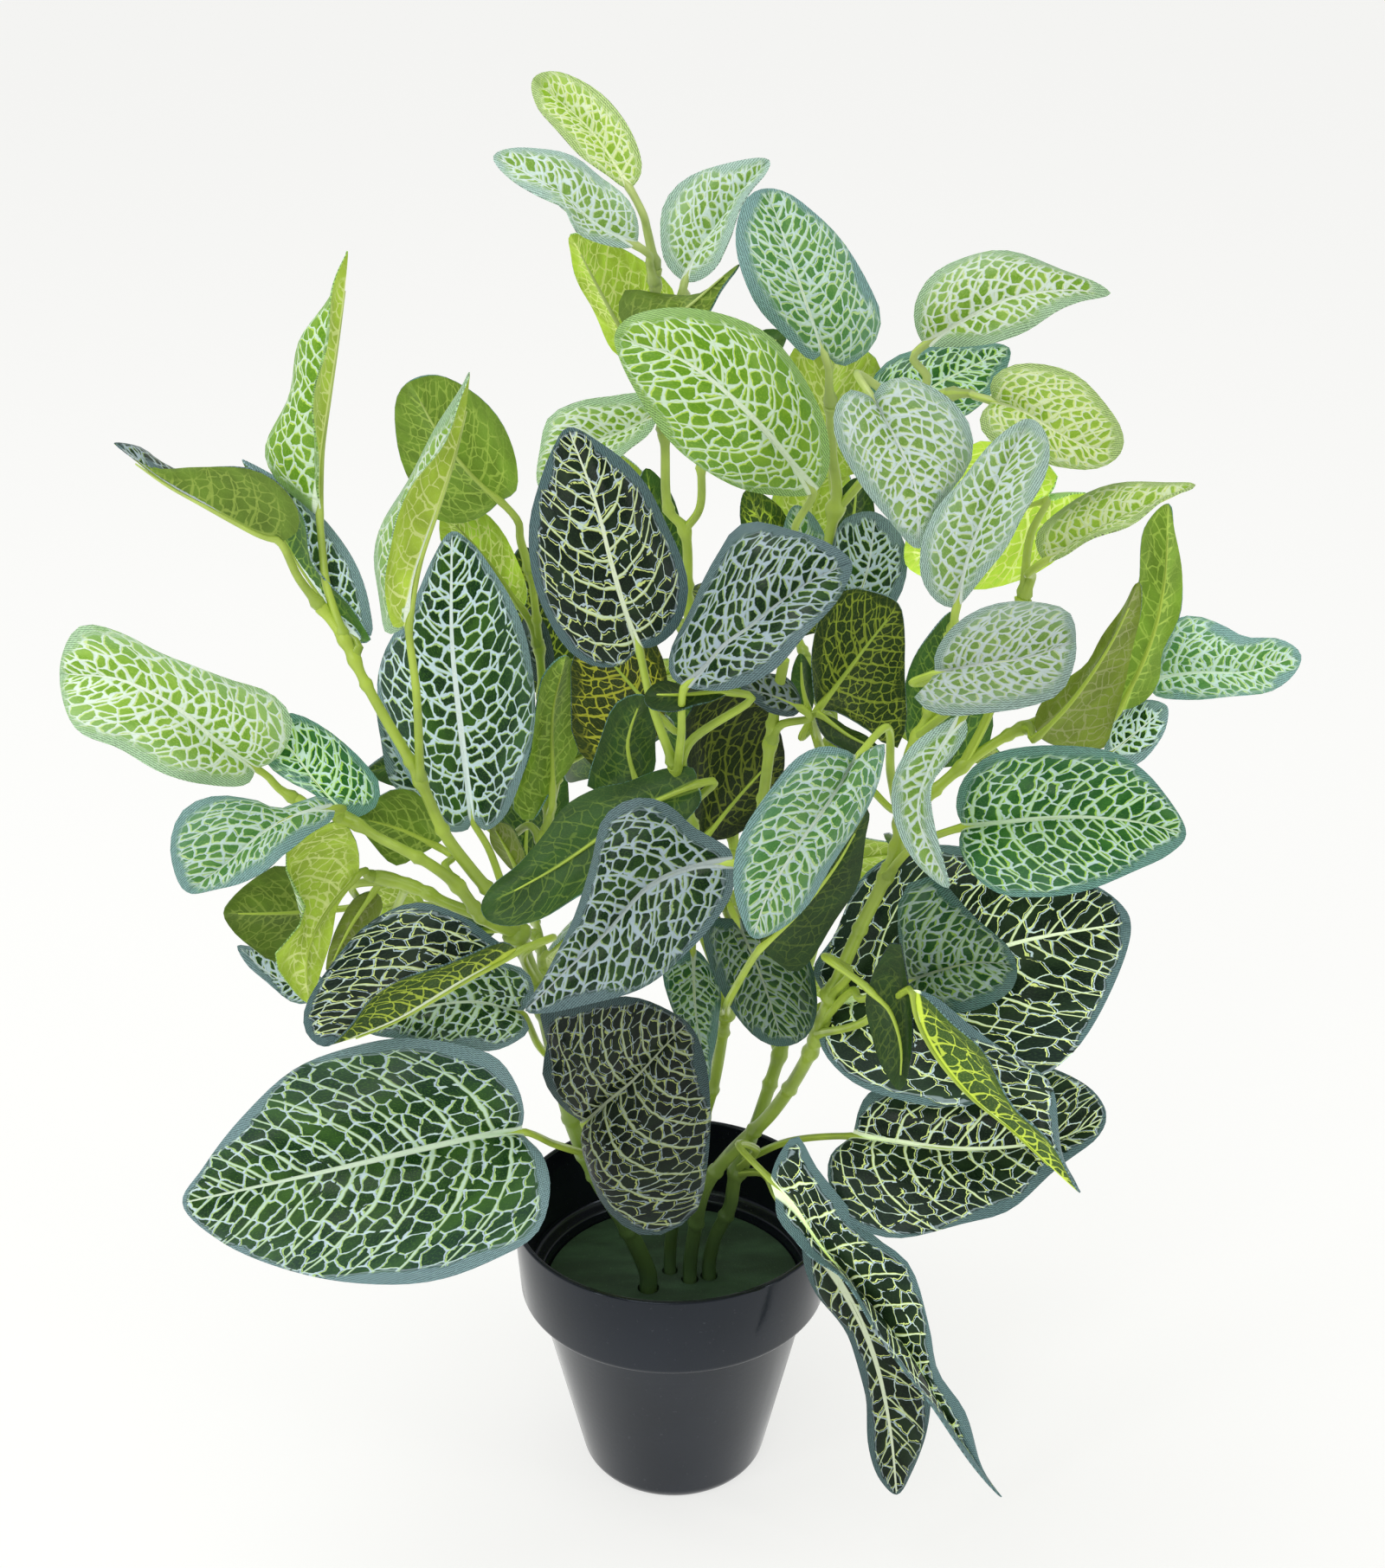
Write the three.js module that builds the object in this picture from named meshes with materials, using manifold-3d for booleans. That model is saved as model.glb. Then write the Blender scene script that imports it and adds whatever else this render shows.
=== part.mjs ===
// An artificial nerve plant in a small plastic pot: a green filler plug in the pot and four moulded stems,
// each with its twigs, petioles and netted leaves as one body. Millimetres, +Z up.
// The origin is the centre of the pot's underside.
import * as THREE from "three";
import { mergeVertices } from "three/addons/utils/BufferGeometryUtils.js";
import Module from "manifold-3d";

const wasm = await Module();
wasm.setup();

// Driving dimensions of the pot.
const POT_HEIGHT = 102;
const RIM_RADIUS = 55;
const COLLAR_BOTTOM_RADIUS = 52.8;
const COLLAR_HEIGHT = 31;
const BODY_TOP_RADIUS = 47.5;
const BASE_RADIUS = 31.8;
const BASE_EDGE = 3;
const WALL = 1.8;
const FLOOR = 2.2;
const LEDGE_RADIUS = 45.7;
const POT_SIDES = 40;

// The filler plug ends just under the ledge. The stems stand in plain holes in it.
const FILLER_TOP = 70;
const FIT_GAP = 0.3;
const HOLE_DEPTH = 26;
const HOLE_GAP = 0.5;

// Blades, petioles and stems.
const BLADE = 0.7;
const ROW_STEP = 13;
const PETIOLE_RADIUS = 1.25;
const PETIOLE_SIDES = 3;
const STEM_SIDES = 6;

// The places of the leaves were measured in a picture of 1600 x 1812 pixels. A place in it is
// [column, row], and its depth in mm, 0 at the pot's axis and rising away from the viewer, fixes it in space.
const EYE = new THREE.Vector3(6.7, -717.4, 603);
const EYE_PITCH = THREE.MathUtils.degToRad(25.4);
const FOCAL = 2900;
const CENTRE_COLUMN = 800;
const CENTRE_ROW = 906;

function place(column, row, depth) {
  const across = (column - CENTRE_COLUMN) / FOCAL;
  const up = (CENTRE_ROW - row) / FOCAL;
  const ray = new THREE.Vector3(
    across,
    Math.cos(EYE_PITCH) + up * Math.sin(EYE_PITCH),
    up * Math.cos(EYE_PITCH) - Math.sin(EYE_PITCH),
  );
  return EYE.clone().addScaledVector(ray, (depth - EYE.y) / ray.y);
}

function pictureOf(point) {
  const from = point.clone().sub(EYE);
  const along = from.y * Math.cos(EYE_PITCH) - from.z * Math.sin(EYE_PITCH);
  const up = from.y * Math.sin(EYE_PITCH) + from.z * Math.cos(EYE_PITCH);
  return [CENTRE_COLUMN + (FOCAL * from.x) / along, CENTRE_ROW - (FOCAL * up) / along];
}

// Stems and twigs: each runs through hand-measured picture points [column, row, depth].
// A twig starts on its parent, at the point nearest to its first one.
const BRANCHES = [
  { name: "left", stem: "stem_left", radii: [3.7, 2.6],
    points: [[749, 1492, -3], [725, 1420, -6], [690, 1362, -8], [662, 1300, -12], [642, 1225, -16],
      [620, 1140, -22], [596, 1076, -28]] },
  { name: "left_high", stem: "stem_left", parent: "left", radii: [2.4, 1.5],
    points: [[598, 1079, -28], [575, 1042, -32], [545, 1006, -36], [514, 964, -40], [490, 912, -44],
      [472, 876, -46], [445, 830, -46], [420, 785, -45], [398, 740, -42], [371, 702, -38]] },
  { name: "left_far", stem: "stem_left", parent: "left", radii: [2.4, 1.5],
    points: [[598, 1079, -28], [558, 1060, -36], [527, 1022, -42], [497, 999, -44], [464, 981, -44],
      [438, 968, -42], [413, 953, -40], [380, 940, -36], [344, 925, -32]] },
  { name: "left_low", stem: "stem_left", parent: "left_far", radii: [2.2, 1.4],
    points: [[555, 1059, -36], [515, 1043, -34], [490, 1030, -32], [464, 1020, -30], [430, 1012, -28]] },
  { name: "left_inner", stem: "stem_left", parent: "left", radii: [2.2, 1.3],
    points: [[598, 1079, -28], [612, 1020, -18], [632, 960, -8], [634, 900, 0], [630, 840, 5], [624, 760, 8],
      [618, 700, 6], [613, 660, 4]] },
  { name: "slant", stem: "stem_right", radii: [2.9, 2.0],
    points: [[797, 1482, 2], [803, 1420, -2], [815, 1372, -6], [844, 1333, -12], [893, 1284, -22],
      [936, 1216, -35], [960, 1150, -45], [995, 1070, -55], [1015, 1030, -60], [1037, 976, -64],
      [1043, 920, -64], [1052, 870, -64], [1070, 835, -66], [1088, 790, -70], [1100, 735, -72]] },
  { name: "right", stem: "stem_right", parent: "slant", radii: [2.0, 1.5],
    points: [[1037, 980, -60], [1060, 935, -54], [1111, 886, -48], [1160, 852, -44], [1200, 832, -40],
      [1236, 812, -36]] },
  { name: "right_high", stem: "stem_right", parent: "right", radii: [1.7, 1.2],
    points: [[1111, 886, -48], [1140, 830, -44], [1166, 760, -42], [1182, 692, -40]] },
  { name: "middle", stem: "stem_middle", radii: [2.9, 1.7],
    points: [[819, 1478, 4], [826, 1430, 3], [843, 1395, 2], [849, 1362, 0], [862, 1330, 0], [877, 1290, 4],
      [900, 1220, 10], [925, 1140, 14], [950, 1050, 14], [965, 950, 8], [962, 850, -2], [958, 760, -4],
      [955, 680, -4], [958, 625, -4], [967, 572, -6], [961, 523, -12], [960, 470, -18]] },
  { name: "middle_right", stem: "stem_middle", parent: "middle", radii: [1.6, 1.2],
    points: [[965, 592, -4], [1000, 550, -8], [1035, 500, -12], [1060, 462, -14], [1094, 455, -16]] },
  { name: "centre", stem: "stem_centre", radii: [2.6, 1.8],
    points: [[774, 1472, 7], [776, 1425, 6], [792, 1350, 4], [822, 1262, 0], [837, 1180, -8], [853, 1085, -22],
      [872, 990, -34], [884, 905, -42], [895, 820, -46], [906, 762, -48]] },
  { name: "centre_front", stem: "stem_centre", parent: "centre", radii: [1.9, 1.5],
    points: [[853, 1085, -22], [822, 1010, -44], [796, 945, -60], [779, 885, -68]] },
  { name: "crown", stem: "stem_centre", parent: "centre", radii: [2.1, 1.4],
    points: [[862, 1040, -28], [838, 930, -10], [815, 830, 0], [800, 760, 4], [795, 700, 4], [790, 611, 2],
      [773, 590, 2], [768, 510, 4], [763, 440, 8], [758, 380, 10], [757, 311, 8]] },
  { name: "crown_right", stem: "stem_centre", parent: "crown", radii: [1.5, 1.1],
    points: [[790, 612, 2], [808, 588, 0], [810, 540, 0], [806, 470, 4], [798, 400, 10], [790, 350, 14]] },
];

// Leaves. base, rib and tip are the midrib's places, a and b the places along each margin from base to tip,
// all [column, row]. depth is the base's; lean is how much farther the tip lies, bow the midrib's middle,
// da and db the middles of the margins. face says which side of the half with margin a the viewer sees.
// root is where the petiole leaves the branch, and way a place that it passes.
const LEAVES = [
  // Top.
  { id: "T1", on: "crown", root: [757, 311], face: "front", depth: 2, lean: 26, bow: 0, da: 0, db: -8,
    base: [727, 217], rib: [[684, 152]], tip: [616, 91],
    a: [[741, 196], [728, 149], [690, 105], [640, 82]], b: [[700, 203], [660, 167], [621, 126]] },
  { id: "T2", on: "crown", root: [757, 330], face: "front", depth: -4, lean: -14, bow: -4, da: 10, db: -8,
    base: [734, 283], rib: [[690, 260], [648, 222]], tip: [570, 180],
    a: [[737, 262], [722, 228], [686, 198], [640, 174], [598, 171]],
    b: [[716, 287], [686, 277], [663, 266], [648, 240], [628, 226], [592, 211]] },
  { id: "T3", on: "crown", root: [760, 470], face: "back", depth: 20, lean: -16, bow: 4, da: 4, db: 8,
    base: [738, 418], rib: [[698, 345]], tip: [659, 271],
    a: [[712, 408], [693, 376], [670, 330], [660, 296]], b: [[776, 385], [782, 345], [756, 312], [712, 284]] },
  { id: "T4", on: "crown_right", root: [800, 440], face: "back", depth: -2, lean: -12, bow: 0, da: 14, db: -10,
    base: [742, 392], rib: [[786, 364]], tip: [854, 306],
    a: [[714, 366], [722, 336], [760, 340], [800, 340], [832, 324]], b: [[790, 388], [822, 354], [840, 328]] },
  { id: "T5", on: "crown_right", root: [790, 350], face: "front", depth: 14, lean: 22, bow: 2, da: 2, db: -10,
    base: [791, 325], rib: [[803, 296], [829, 258], [856, 220]], tip: [889, 185],
    a: [[769, 305], [763, 269], [767, 236], [785, 212], [828, 192]],
    b: [[806, 324], [830, 307], [841, 284], [849, 250], [868, 224]] },
  { id: "T6", on: "middle", root: [960, 470], face: "front", depth: -20, lean: 16, bow: -4, da: -3, db: 4,
    base: [952, 408], rib: [[930, 345], [908, 280]], tip: [885, 218],
    a: [[938, 416], [904, 386], [871, 348], [853, 302], [852, 255], [864, 228]],
    b: [[972, 423], [1003, 405], [1017, 368], [1006, 332], [980, 290], [945, 250], [912, 224]] },
  { id: "T7", on: "middle", root: [954, 660], face: "front", depth: -36, lean: -6, bow: -8, da: 10, db: -6,
    base: [940, 569], rib: [[898, 514], [850, 463], [790, 417]], tip: [710, 389],
    a: [[955, 545], [954, 500], [930, 437], [891, 389], [828, 363], [768, 356], [723, 369]],
    b: [[911, 573], [866, 568], [824, 549], [783, 520], [751, 479], [718, 420]], way: [918, 612, -30] },
  { id: "T8", on: "middle", root: [966, 590], face: "back", depth: 12, lean: -6, bow: 4, da: 6, db: 6,
    base: [961, 552], rib: [[956, 480]], tip: [966, 396],
    a: [[925, 540], [908, 470], [915, 405]], b: [[1000, 540], [1022, 470], [1010, 412]] },
  { id: "T9", on: "crown_right", root: [800, 470], face: "back", depth: 16, lean: 6, bow: 0, da: 4, db: -4,
    base: [838, 446], rib: [[872, 412]], tip: [909, 386],
    a: [[846, 418], [872, 386], [894, 380]], b: [[862, 446], [890, 425], [904, 402]] },
  { id: "T10", on: "crown", root: [767, 500], face: "front", depth: 0, lean: -20, bow: 0, da: 6, db: -8,
    base: [758, 478], rib: [[715, 500], [660, 520]], tip: [622, 562],
    a: [[745, 456], [705, 458], [665, 466], [634, 482], [624, 520]], b: [[752, 498], [716, 530], [680, 560], [645, 572]] },

  // Left.
  { id: "L1", on: "left_high", root: [398, 740], face: "front", depth: -22, lean: 14, bow: 6, da: 10, db: -10,
    base: [369, 595], rib: [[368, 540], [377, 467], [391, 370]], tip: [401, 290],
    a: [[345, 578], [322, 556], [309, 522], [330, 460], [346, 398], [380, 348]],
    b: [[365, 560], [364, 515], [366, 465], [371, 413], [382, 348]] },
  { id: "L2", on: "left_high", root: [371, 702], face: "back", depth: -40, lean: -8, bow: -4, da: 4, db: 26,
    base: [322, 624], rib: [[291, 611], [250, 588], [208, 566], [175, 545]], tip: [132, 512],
    a: [[344, 614], [345, 592], [323, 560], [291, 541], [227, 540], [172, 540]],
    b: [[318, 600], [270, 560], [200, 545], [158, 518]], way: [345, 668, -40] },
  { id: "L3", on: "left_high", root: [408, 762], face: "front", depth: -40, lean: 30, bow: 2, da: 8, db: -8,
    base: [412, 742], rib: [[385, 705], [350, 655], [325, 612]], tip: [280, 531],
    a: [[429, 733], [428, 705], [418, 670], [396, 630], [371, 595], [340, 566], [305, 544]],
    b: [[428, 741], [406, 706], [381, 675], [365, 649], [350, 600], [305, 552]] },
  { id: "L4", on: "left_inner", root: [613, 662], face: "back", depth: -2, lean: -10, bow: 2, da: 6, db: 6,
    base: [578, 579], rib: [[545, 548], [505, 497]], tip: [474, 440],
    a: [[560, 594], [530, 604], [500, 598], [470, 550], [458, 500], [458, 460]],
    b: [[596, 568], [598, 540], [590, 510], [572, 478], [545, 452], [505, 434]] },
  { id: "L5", on: "left_high", root: [487, 902], face: "front", depth: -62, lean: 12, bow: 4, da: 10, db: -8,
    base: [472, 722], rib: [[476, 672], [490, 625], [512, 560], [532, 490]], tip: [542, 430],
    a: [[450, 733], [440, 708], [432, 655], [440, 620], [470, 552], [500, 505], [530, 452]],
    b: [[456, 726], [446, 690], [452, 612], [480, 560], [515, 500], [538, 450]], way: [481, 800, -58] },
  { id: "L6", on: "left_inner", root: [622, 750], face: "back", depth: 8, lean: -4, bow: 2, da: 4, db: 4,
    base: [603, 703], rib: [[562, 645]], tip: [512, 590],
    a: [[575, 702], [530, 662], [508, 618]], b: [[609, 685], [592, 635], [560, 592], [533, 583]] },
  { id: "L7", on: "left", root: [600, 1085], face: "front", depth: -24, lean: 10, bow: -6, da: 4, db: 6,
    base: [546, 948], rib: [[532, 839], [522, 740]], tip: [522, 614],
    a: [[540, 958], [515, 958], [495, 930], [455, 870], [437, 800], [445, 755], [475, 700], [500, 645]],
    b: [[560, 960], [582, 945], [608, 876], [618, 825], [614, 765], [598, 709], [570, 660], [545, 628]],
    way: [566, 984, -22] },
  { id: "L7b", on: "left_inner", root: [625, 975], face: "front", depth: 8, lean: 4, bow: 0, da: -4, db: 8,
    base: [560, 952], rib: [[500, 892]], tip: [438, 806],
    a: [[530, 945], [490, 926], [455, 909], [440, 858]], b: [[545, 880], [505, 830], [462, 800]] },
  { id: "L8", on: "left_inner", root: [634, 965], face: "back", depth: -10, lean: -2, bow: 4, da: -6, db: 8,
    base: [638, 912], rib: [[637, 870], [638, 820]], tip: [653, 757],
    a: [[612, 950], [593, 935], [610, 870], [621, 820], [628, 778]],
    b: [[658, 890], [669, 850], [670, 805], [664, 772]] },
  { id: "L9", on: "left_inner", root: [628, 800], face: "front", depth: 16, lean: 6, bow: 0, da: 2, db: 2,
    base: [634, 792], rib: [[622, 750]], tip: [612, 704],
    a: [[612, 780], [602, 730]], b: [[640, 765], [632, 726]] },
  { id: "L10", on: "left", root: [604, 1095], face: "back", depth: -10, lean: 8, bow: 0, da: -6, db: 6,
    base: [603, 1010], rib: [[588, 980]], tip: [570, 950],
    a: [[606, 985], [590, 955]], b: [[575, 988], [566, 962]] },
  { id: "W1", on: "left_far", root: [344, 925], face: "front", depth: -34, lean: -14, bow: -6, da: 10, db: -8,
    base: [296, 888], rib: [[251, 857], [203, 817], [140, 786]], tip: [69, 778],
    a: [[310, 882], [330, 860], [337, 830], [315, 804], [270, 787], [200, 762], [140, 731], [92, 724]],
    b: [[285, 906], [235, 906], [187, 893], [140, 866], [88, 841]] },
  { id: "W2", on: "left_far", root: [413, 953], face: "front", depth: -34, lean: 10, bow: 0, da: 8, db: -2,
    base: [404, 943], rib: [[372, 912], [338, 868]], tip: [308, 835],
    a: [[412, 944], [434, 932], [438, 906], [420, 880], [394, 857], [366, 836], [335, 824]],
    b: [[391, 938], [366, 919], [334, 903], [306, 878]] },
  { id: "W3", on: "left_far", root: [395, 948], face: "front", depth: -48, lean: -24, bow: -4, da: 8, db: -8,
    base: [386, 934], rib: [[345, 940], [303, 962], [262, 997]], tip: [216, 1031],
    a: [[372, 920], [347, 927], [320, 939], [302, 928], [251, 919], [212, 937], [197, 983]],
    b: [[383, 948], [353, 967], [328, 987], [308, 1008], [262, 1024]] },
  { id: "W4", on: "left_low", root: [435, 1013], face: "back", depth: -34, lean: -14, bow: 0, da: -4, db: 2,
    base: [414, 1010], rib: [[390, 1034], [368, 1064], [352, 1110]], tip: [357, 1160],
    a: [[413, 976], [395, 950], [360, 958], [327, 989], [340, 1022], [356, 1055], [335, 1082], [316, 1106],
      [332, 1136]],
    b: [[405, 1024], [390, 1050], [384, 1075], [376, 1108], [364, 1145]] },
  { id: "W5", on: "left_low", root: [455, 1018], face: "back", depth: -8, lean: -8, bow: 0, da: 6, db: -2,
    base: [372, 1052], rib: [[315, 1055]], tip: [258, 1055],
    a: [[350, 1012], [322, 1000], [290, 1018], [268, 1038]], b: [[350, 1106], [318, 1113], [290, 1094], [268, 1075]] },
  { id: "W6", on: "left_low", root: [470, 1024], face: "front", depth: 6, lean: 10, bow: 0, da: 12, db: -4,
    base: [384, 1146], rib: [[322, 1130]], tip: [274, 1093],
    a: [[345, 1112], [300, 1097]], b: [[345, 1160], [312, 1139], [284, 1112]], way: [440, 1080, 0] },
  { id: "W7", on: "left_far", root: [530, 1024], face: "back", depth: -22, lean: -4, bow: 2, da: 6, db: -2,
    base: [503, 977], rib: [[462, 958]], tip: [412, 944],
    a: [[516, 962], [497, 932], [478, 914], [455, 912], [430, 926]], b: [[485, 988], [458, 1000], [430, 975]] },
  { id: "W8", on: "left_low", root: [445, 1016], face: "back", depth: -18, lean: -4, bow: 0, da: 0, db: 0,
    base: [432, 1030], rib: [[405, 1070]], tip: [378, 1124],
    a: [[412, 1036], [394, 1062], [380, 1098]], b: [[442, 1044], [428, 1075], [402, 1104]] },
  { id: "W9", on: "left_low", root: [495, 1033], face: "back", depth: 0, lean: 6, bow: 0, da: 6, db: -6,
    base: [490, 1046], rib: [[455, 1046]], tip: [412, 1060],
    a: [[474, 1024], [436, 1026]], b: [[470, 1068], [440, 1078]] },

  // Lower left.
  { id: "B1", on: "left", root: [618, 1135], face: "front", depth: -62, lean: -22, bow: -2, da: 16, db: -8,
    base: [598, 1099], rib: [[553, 1122], [510, 1147], [460, 1176], [418, 1194]], tip: [374, 1209],
    a: [[574, 1088], [540, 1063], [482, 1043], [426, 1066], [382, 1117], [352, 1170], [355, 1195]],
    b: [[585, 1090], [540, 1101], [502, 1117], [464, 1135], [426, 1158], [400, 1188]] },
  { id: "B2", on: "left", root: [642, 1228], face: "front", depth: -38, lean: -10, bow: -2, da: 8, db: -8,
    base: [603, 1171], rib: [[553, 1158], [500, 1162], [460, 1174]], tip: [424, 1191],
    a: [[616, 1150], [608, 1122], [570, 1112], [515, 1118], [465, 1150]],
    b: [[611, 1190], [597, 1203], [570, 1214], [527, 1212], [480, 1202]], way: [622, 1208, -30] },
  { id: "B3", on: "left", root: [676, 1332], face: "front", depth: -62, lean: -14, bow: -8, da: 18, db: -22,
    base: [603, 1308], rib: [[561, 1312], [495, 1326], [410, 1346], [330, 1364]], tip: [211, 1390],
    a: [[605, 1286], [599, 1259], [575, 1224], [530, 1207], [468, 1199], [410, 1209], [339, 1236], [280, 1292],
      [235, 1350]],
    b: [[626, 1334], [635, 1372], [620, 1425], [565, 1458], [500, 1480], [430, 1484], [350, 1472], [255, 1435]],
    way: [640, 1322, -42] },

  // Centre.
  { id: "C1", on: "centre_front", root: [822, 1010], face: "front", depth: -96, lean: -26, bow: 6, da: 12, db: -10,
    base: [846, 997], rib: [[798, 1003], [750, 1024], [700, 1078], [650, 1125]], tip: [607, 1168],
    a: [[845, 984], [800, 955], [770, 929], [736, 922], [700, 942], [683, 998], [660, 1068], [630, 1130]],
    b: [[846, 1030], [822, 1070], [790, 1104], [740, 1143], [680, 1161]] },
  { id: "C2", on: "centre", root: [812, 1290], face: "front", depth: -44, lean: -14, bow: 0, da: -2, db: -10,
    base: [674, 1300], rib: [[700, 1275], [730, 1250], [768, 1209]], tip: [794, 1182],
    a: [[651, 1279], [627, 1240], [632, 1206], [624, 1174], [663, 1160], [720, 1152], [765, 1165]],
    b: [[671, 1322], [678, 1350], [700, 1395], [750, 1427], [800, 1405], [815, 1355], [822, 1275], [812, 1215]],
    way: [740, 1322, -22] },
  { id: "C3", on: "centre_front", root: [800, 955], face: "back", depth: -72, lean: 0, bow: 0, da: 8, db: -10,
    base: [806, 906], rib: [[740, 935], [670, 985], [610, 1022]], tip: [556, 1046],
    a: [[800, 888], [764, 889], [725, 905], [687, 912], [650, 932], [625, 968], [600, 1000], [568, 1024]],
    b: [[810, 925], [790, 950], [720, 1010], [660, 1040], [617, 1064], [585, 1070], [562, 1062]] },
  { id: "C4", on: "centre_front", root: [790, 925], face: "back", depth: -50, lean: -2, bow: 4, da: 0, db: 4,
    base: [736, 908], rib: [[725, 860]], tip: [742, 803],
    a: [[700, 915], [680, 912], [694, 855], [712, 812]], b: [[755, 890], [757, 850], [752, 815]] },
  { id: "C5", on: "crown", root: [818, 845], face: "back", depth: -14, lean: 2, bow: 2, da: -4, db: 6,
    base: [766, 832], rib: [[728, 790]], tip: [682, 735],
    a: [[742, 880], [700, 895], [665, 862], [660, 800], [662, 760]], b: [[772, 790], [756, 742], [720, 718]] },
  { id: "C6", on: "centre", root: [868, 1010], face: "back", depth: -22, lean: 8, bow: 2, da: 0, db: 2,
    base: [814, 968], rib: [[847, 926]], tip: [905, 862],
    a: [[800, 930], [794, 880], [794, 825], [820, 800], [858, 798], [888, 820]],
    b: [[850, 965], [885, 935], [905, 895]] },
  { id: "D1", on: "centre_front", root: [779, 885], face: "front", depth: -76, lean: 14, bow: -6, da: 0, db: 8,
    base: [738, 750], rib: [[722, 705], [706, 650], [688, 580]], tip: [656, 494],
    a: [[719, 766], [690, 769], [655, 750], [622, 690], [612, 610], [624, 555], [640, 516]],
    b: [[757, 747], [782, 725], [793, 683], [788, 648], [770, 603], [745, 560], [700, 517]], way: [752, 810, -74] },
  { id: "D2", on: "centre_front", root: [782, 895], face: "front", depth: -84, lean: 10, bow: -4, da: 16, db: -12,
    base: [791, 793], rib: [[810, 776], [838, 744], [866, 724], [900, 696], [942, 668]], tip: [984, 650],
    a: [[775, 780], [774, 752], [800, 700], [831, 641], [850, 609], [872, 602], [910, 611], [955, 628]],
    b: [[815, 798], [845, 797], [895, 772], [935, 732], [975, 680]], way: [787, 850, -78] },
  { id: "D3", on: "centre_front", root: [784, 905], face: "back", depth: -76, lean: -8, bow: 0, da: 10, db: -4,
    base: [842, 800], rib: [[795, 806]], tip: [744, 806],
    a: [[800, 794], [758, 789]], b: [[815, 812], [775, 822], [750, 818]] },
  { id: "D4", on: "middle", root: [962, 860], face: "back", depth: -34, lean: 0, bow: 4, da: 2, db: 4,
    base: [946, 818], rib: [[975, 779], [1006, 738]], tip: [1038, 698],
    a: [[938, 780], [940, 738], [955, 700], [980, 679], [1008, 683]],
    b: [[965, 822], [1000, 842], [1034, 866], [1046, 838], [1045, 780], [1045, 730]] },
  { id: "D5", on: "middle", root: [964, 900], face: "back", depth: -48, lean: 10, bow: 0, da: 6, db: -4,
    base: [942, 824], rib: [[980, 852]], tip: [1022, 870],
    a: [[965, 832], [1000, 852]], b: [[952, 850], [990, 874]], way: [944, 850, -34] },
  { id: "D6", on: "middle", root: [963, 920], face: "back", depth: -32, lean: 4, bow: 0, da: 0, db: 4,
    base: [934, 824], rib: [[926, 795]], tip: [924, 755],
    a: [[918, 812], [914, 780]], b: [[941, 800], [936, 770]] },
  { id: "D7", on: "centre", root: [891, 860], face: "front", depth: -52, lean: 0, bow: 0, da: 8, db: -4,
    base: [925, 818], rib: [[892, 803]], tip: [856, 794],
    a: [[916, 790], [885, 778]], b: [[915, 828], [885, 821]] },
  { id: "D8", on: "middle", root: [957, 740], face: "front", depth: -14, lean: 6, bow: 0, da: 4, db: 2,
    base: [985, 712], rib: [[1003, 655]], tip: [1012, 592],
    a: [[965, 690], [960, 640], [975, 600]], b: [[1028, 705], [1046, 665], [1044, 625]] },
  { id: "D9", on: "middle", root: [965, 950], face: "back", depth: -28, lean: 4, bow: 2, da: 0, db: 6,
    base: [1062, 884], rib: [[1085, 800]], tip: [1102, 706],
    a: [[1047, 850], [1046, 790], [1070, 737]], b: [[1110, 882], [1147, 850], [1132, 770], [1110, 730]] },
  { id: "X1", on: "crown", root: [793, 700], face: "back", depth: 20, lean: 8, bow: 0, da: 0, db: 2,
    base: [788, 668], rib: [[760, 610]], tip: [746, 541],
    a: [[752, 640], [736, 580]], b: [[790, 620], [772, 565]] },
  { id: "X2", on: "middle", root: [956, 700], face: "back", depth: 12, lean: 6, bow: 0, da: 0, db: 4,
    base: [905, 680], rib: [[885, 620]], tip: [862, 566],
    a: [[872, 650], [855, 598]], b: [[918, 640], [900, 585]] },
  { id: "X3", on: "middle", root: [956, 690], face: "front", depth: 8, lean: 8, bow: 0, da: 0, db: 4,
    base: [945, 678], rib: [[930, 630]], tip: [918, 584],
    a: [[912, 655], [905, 610]], b: [[956, 640], [940, 596]] },
  { id: "X4", on: "middle", root: [958, 640], face: "back", depth: 18, lean: 6, bow: 0, da: 2, db: 2,
    base: [975, 640], rib: [[985, 600]], tip: [990, 552],
    a: [[960, 615], [966, 575]], b: [[1004, 620], [1008, 575]] },

  // Right.
  { id: "E1", on: "middle_right", root: [1030, 508], face: "front", depth: -50, lean: -22, bow: -4, da: 4, db: 4,
    base: [1007, 459], rib: [[1035, 508], [1057, 560]], tip: [1062, 634],
    a: [[985, 450], [966, 468], [964, 500], [985, 545], [1022, 594]],
    b: [[1020, 444], [1045, 436], [1095, 459], [1120, 492], [1122, 530], [1090, 580]] },
  { id: "E2", on: "slant", root: [1100, 735], face: "front", depth: -76, lean: 10, bow: -4, da: 4, db: -8,
    base: [1105, 701], rib: [[1119, 642], [1141, 585], [1165, 533]], tip: [1190, 484],
    a: [[1084, 696], [1065, 670], [1065, 630], [1082, 588], [1114, 551], [1145, 513], [1170, 492]],
    b: [[1120, 687], [1147, 652], [1174, 613], [1200, 565], [1213, 520], [1206, 496]] },
  { id: "E3", on: "middle_right", root: [1094, 455], face: "front", depth: -34, lean: -16, bow: -4, da: 10, db: -6,
    base: [1146, 463], rib: [[1184, 476], [1218, 497], [1262, 517]], tip: [1297, 518],
    a: [[1146, 440], [1165, 424], [1200, 420], [1240, 432], [1272, 462], [1295, 495]],
    b: [[1134, 478], [1133, 495], [1150, 515], [1190, 528], [1225, 539], [1262, 543], [1285, 534]] },
  { id: "E4", on: "middle_right", root: [1058, 462], face: "front", depth: -20, lean: -6, bow: -4, da: 10, db: -6,
    base: [1069, 398], rib: [[1110, 372], [1165, 345], [1225, 335]], tip: [1283, 339],
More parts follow.
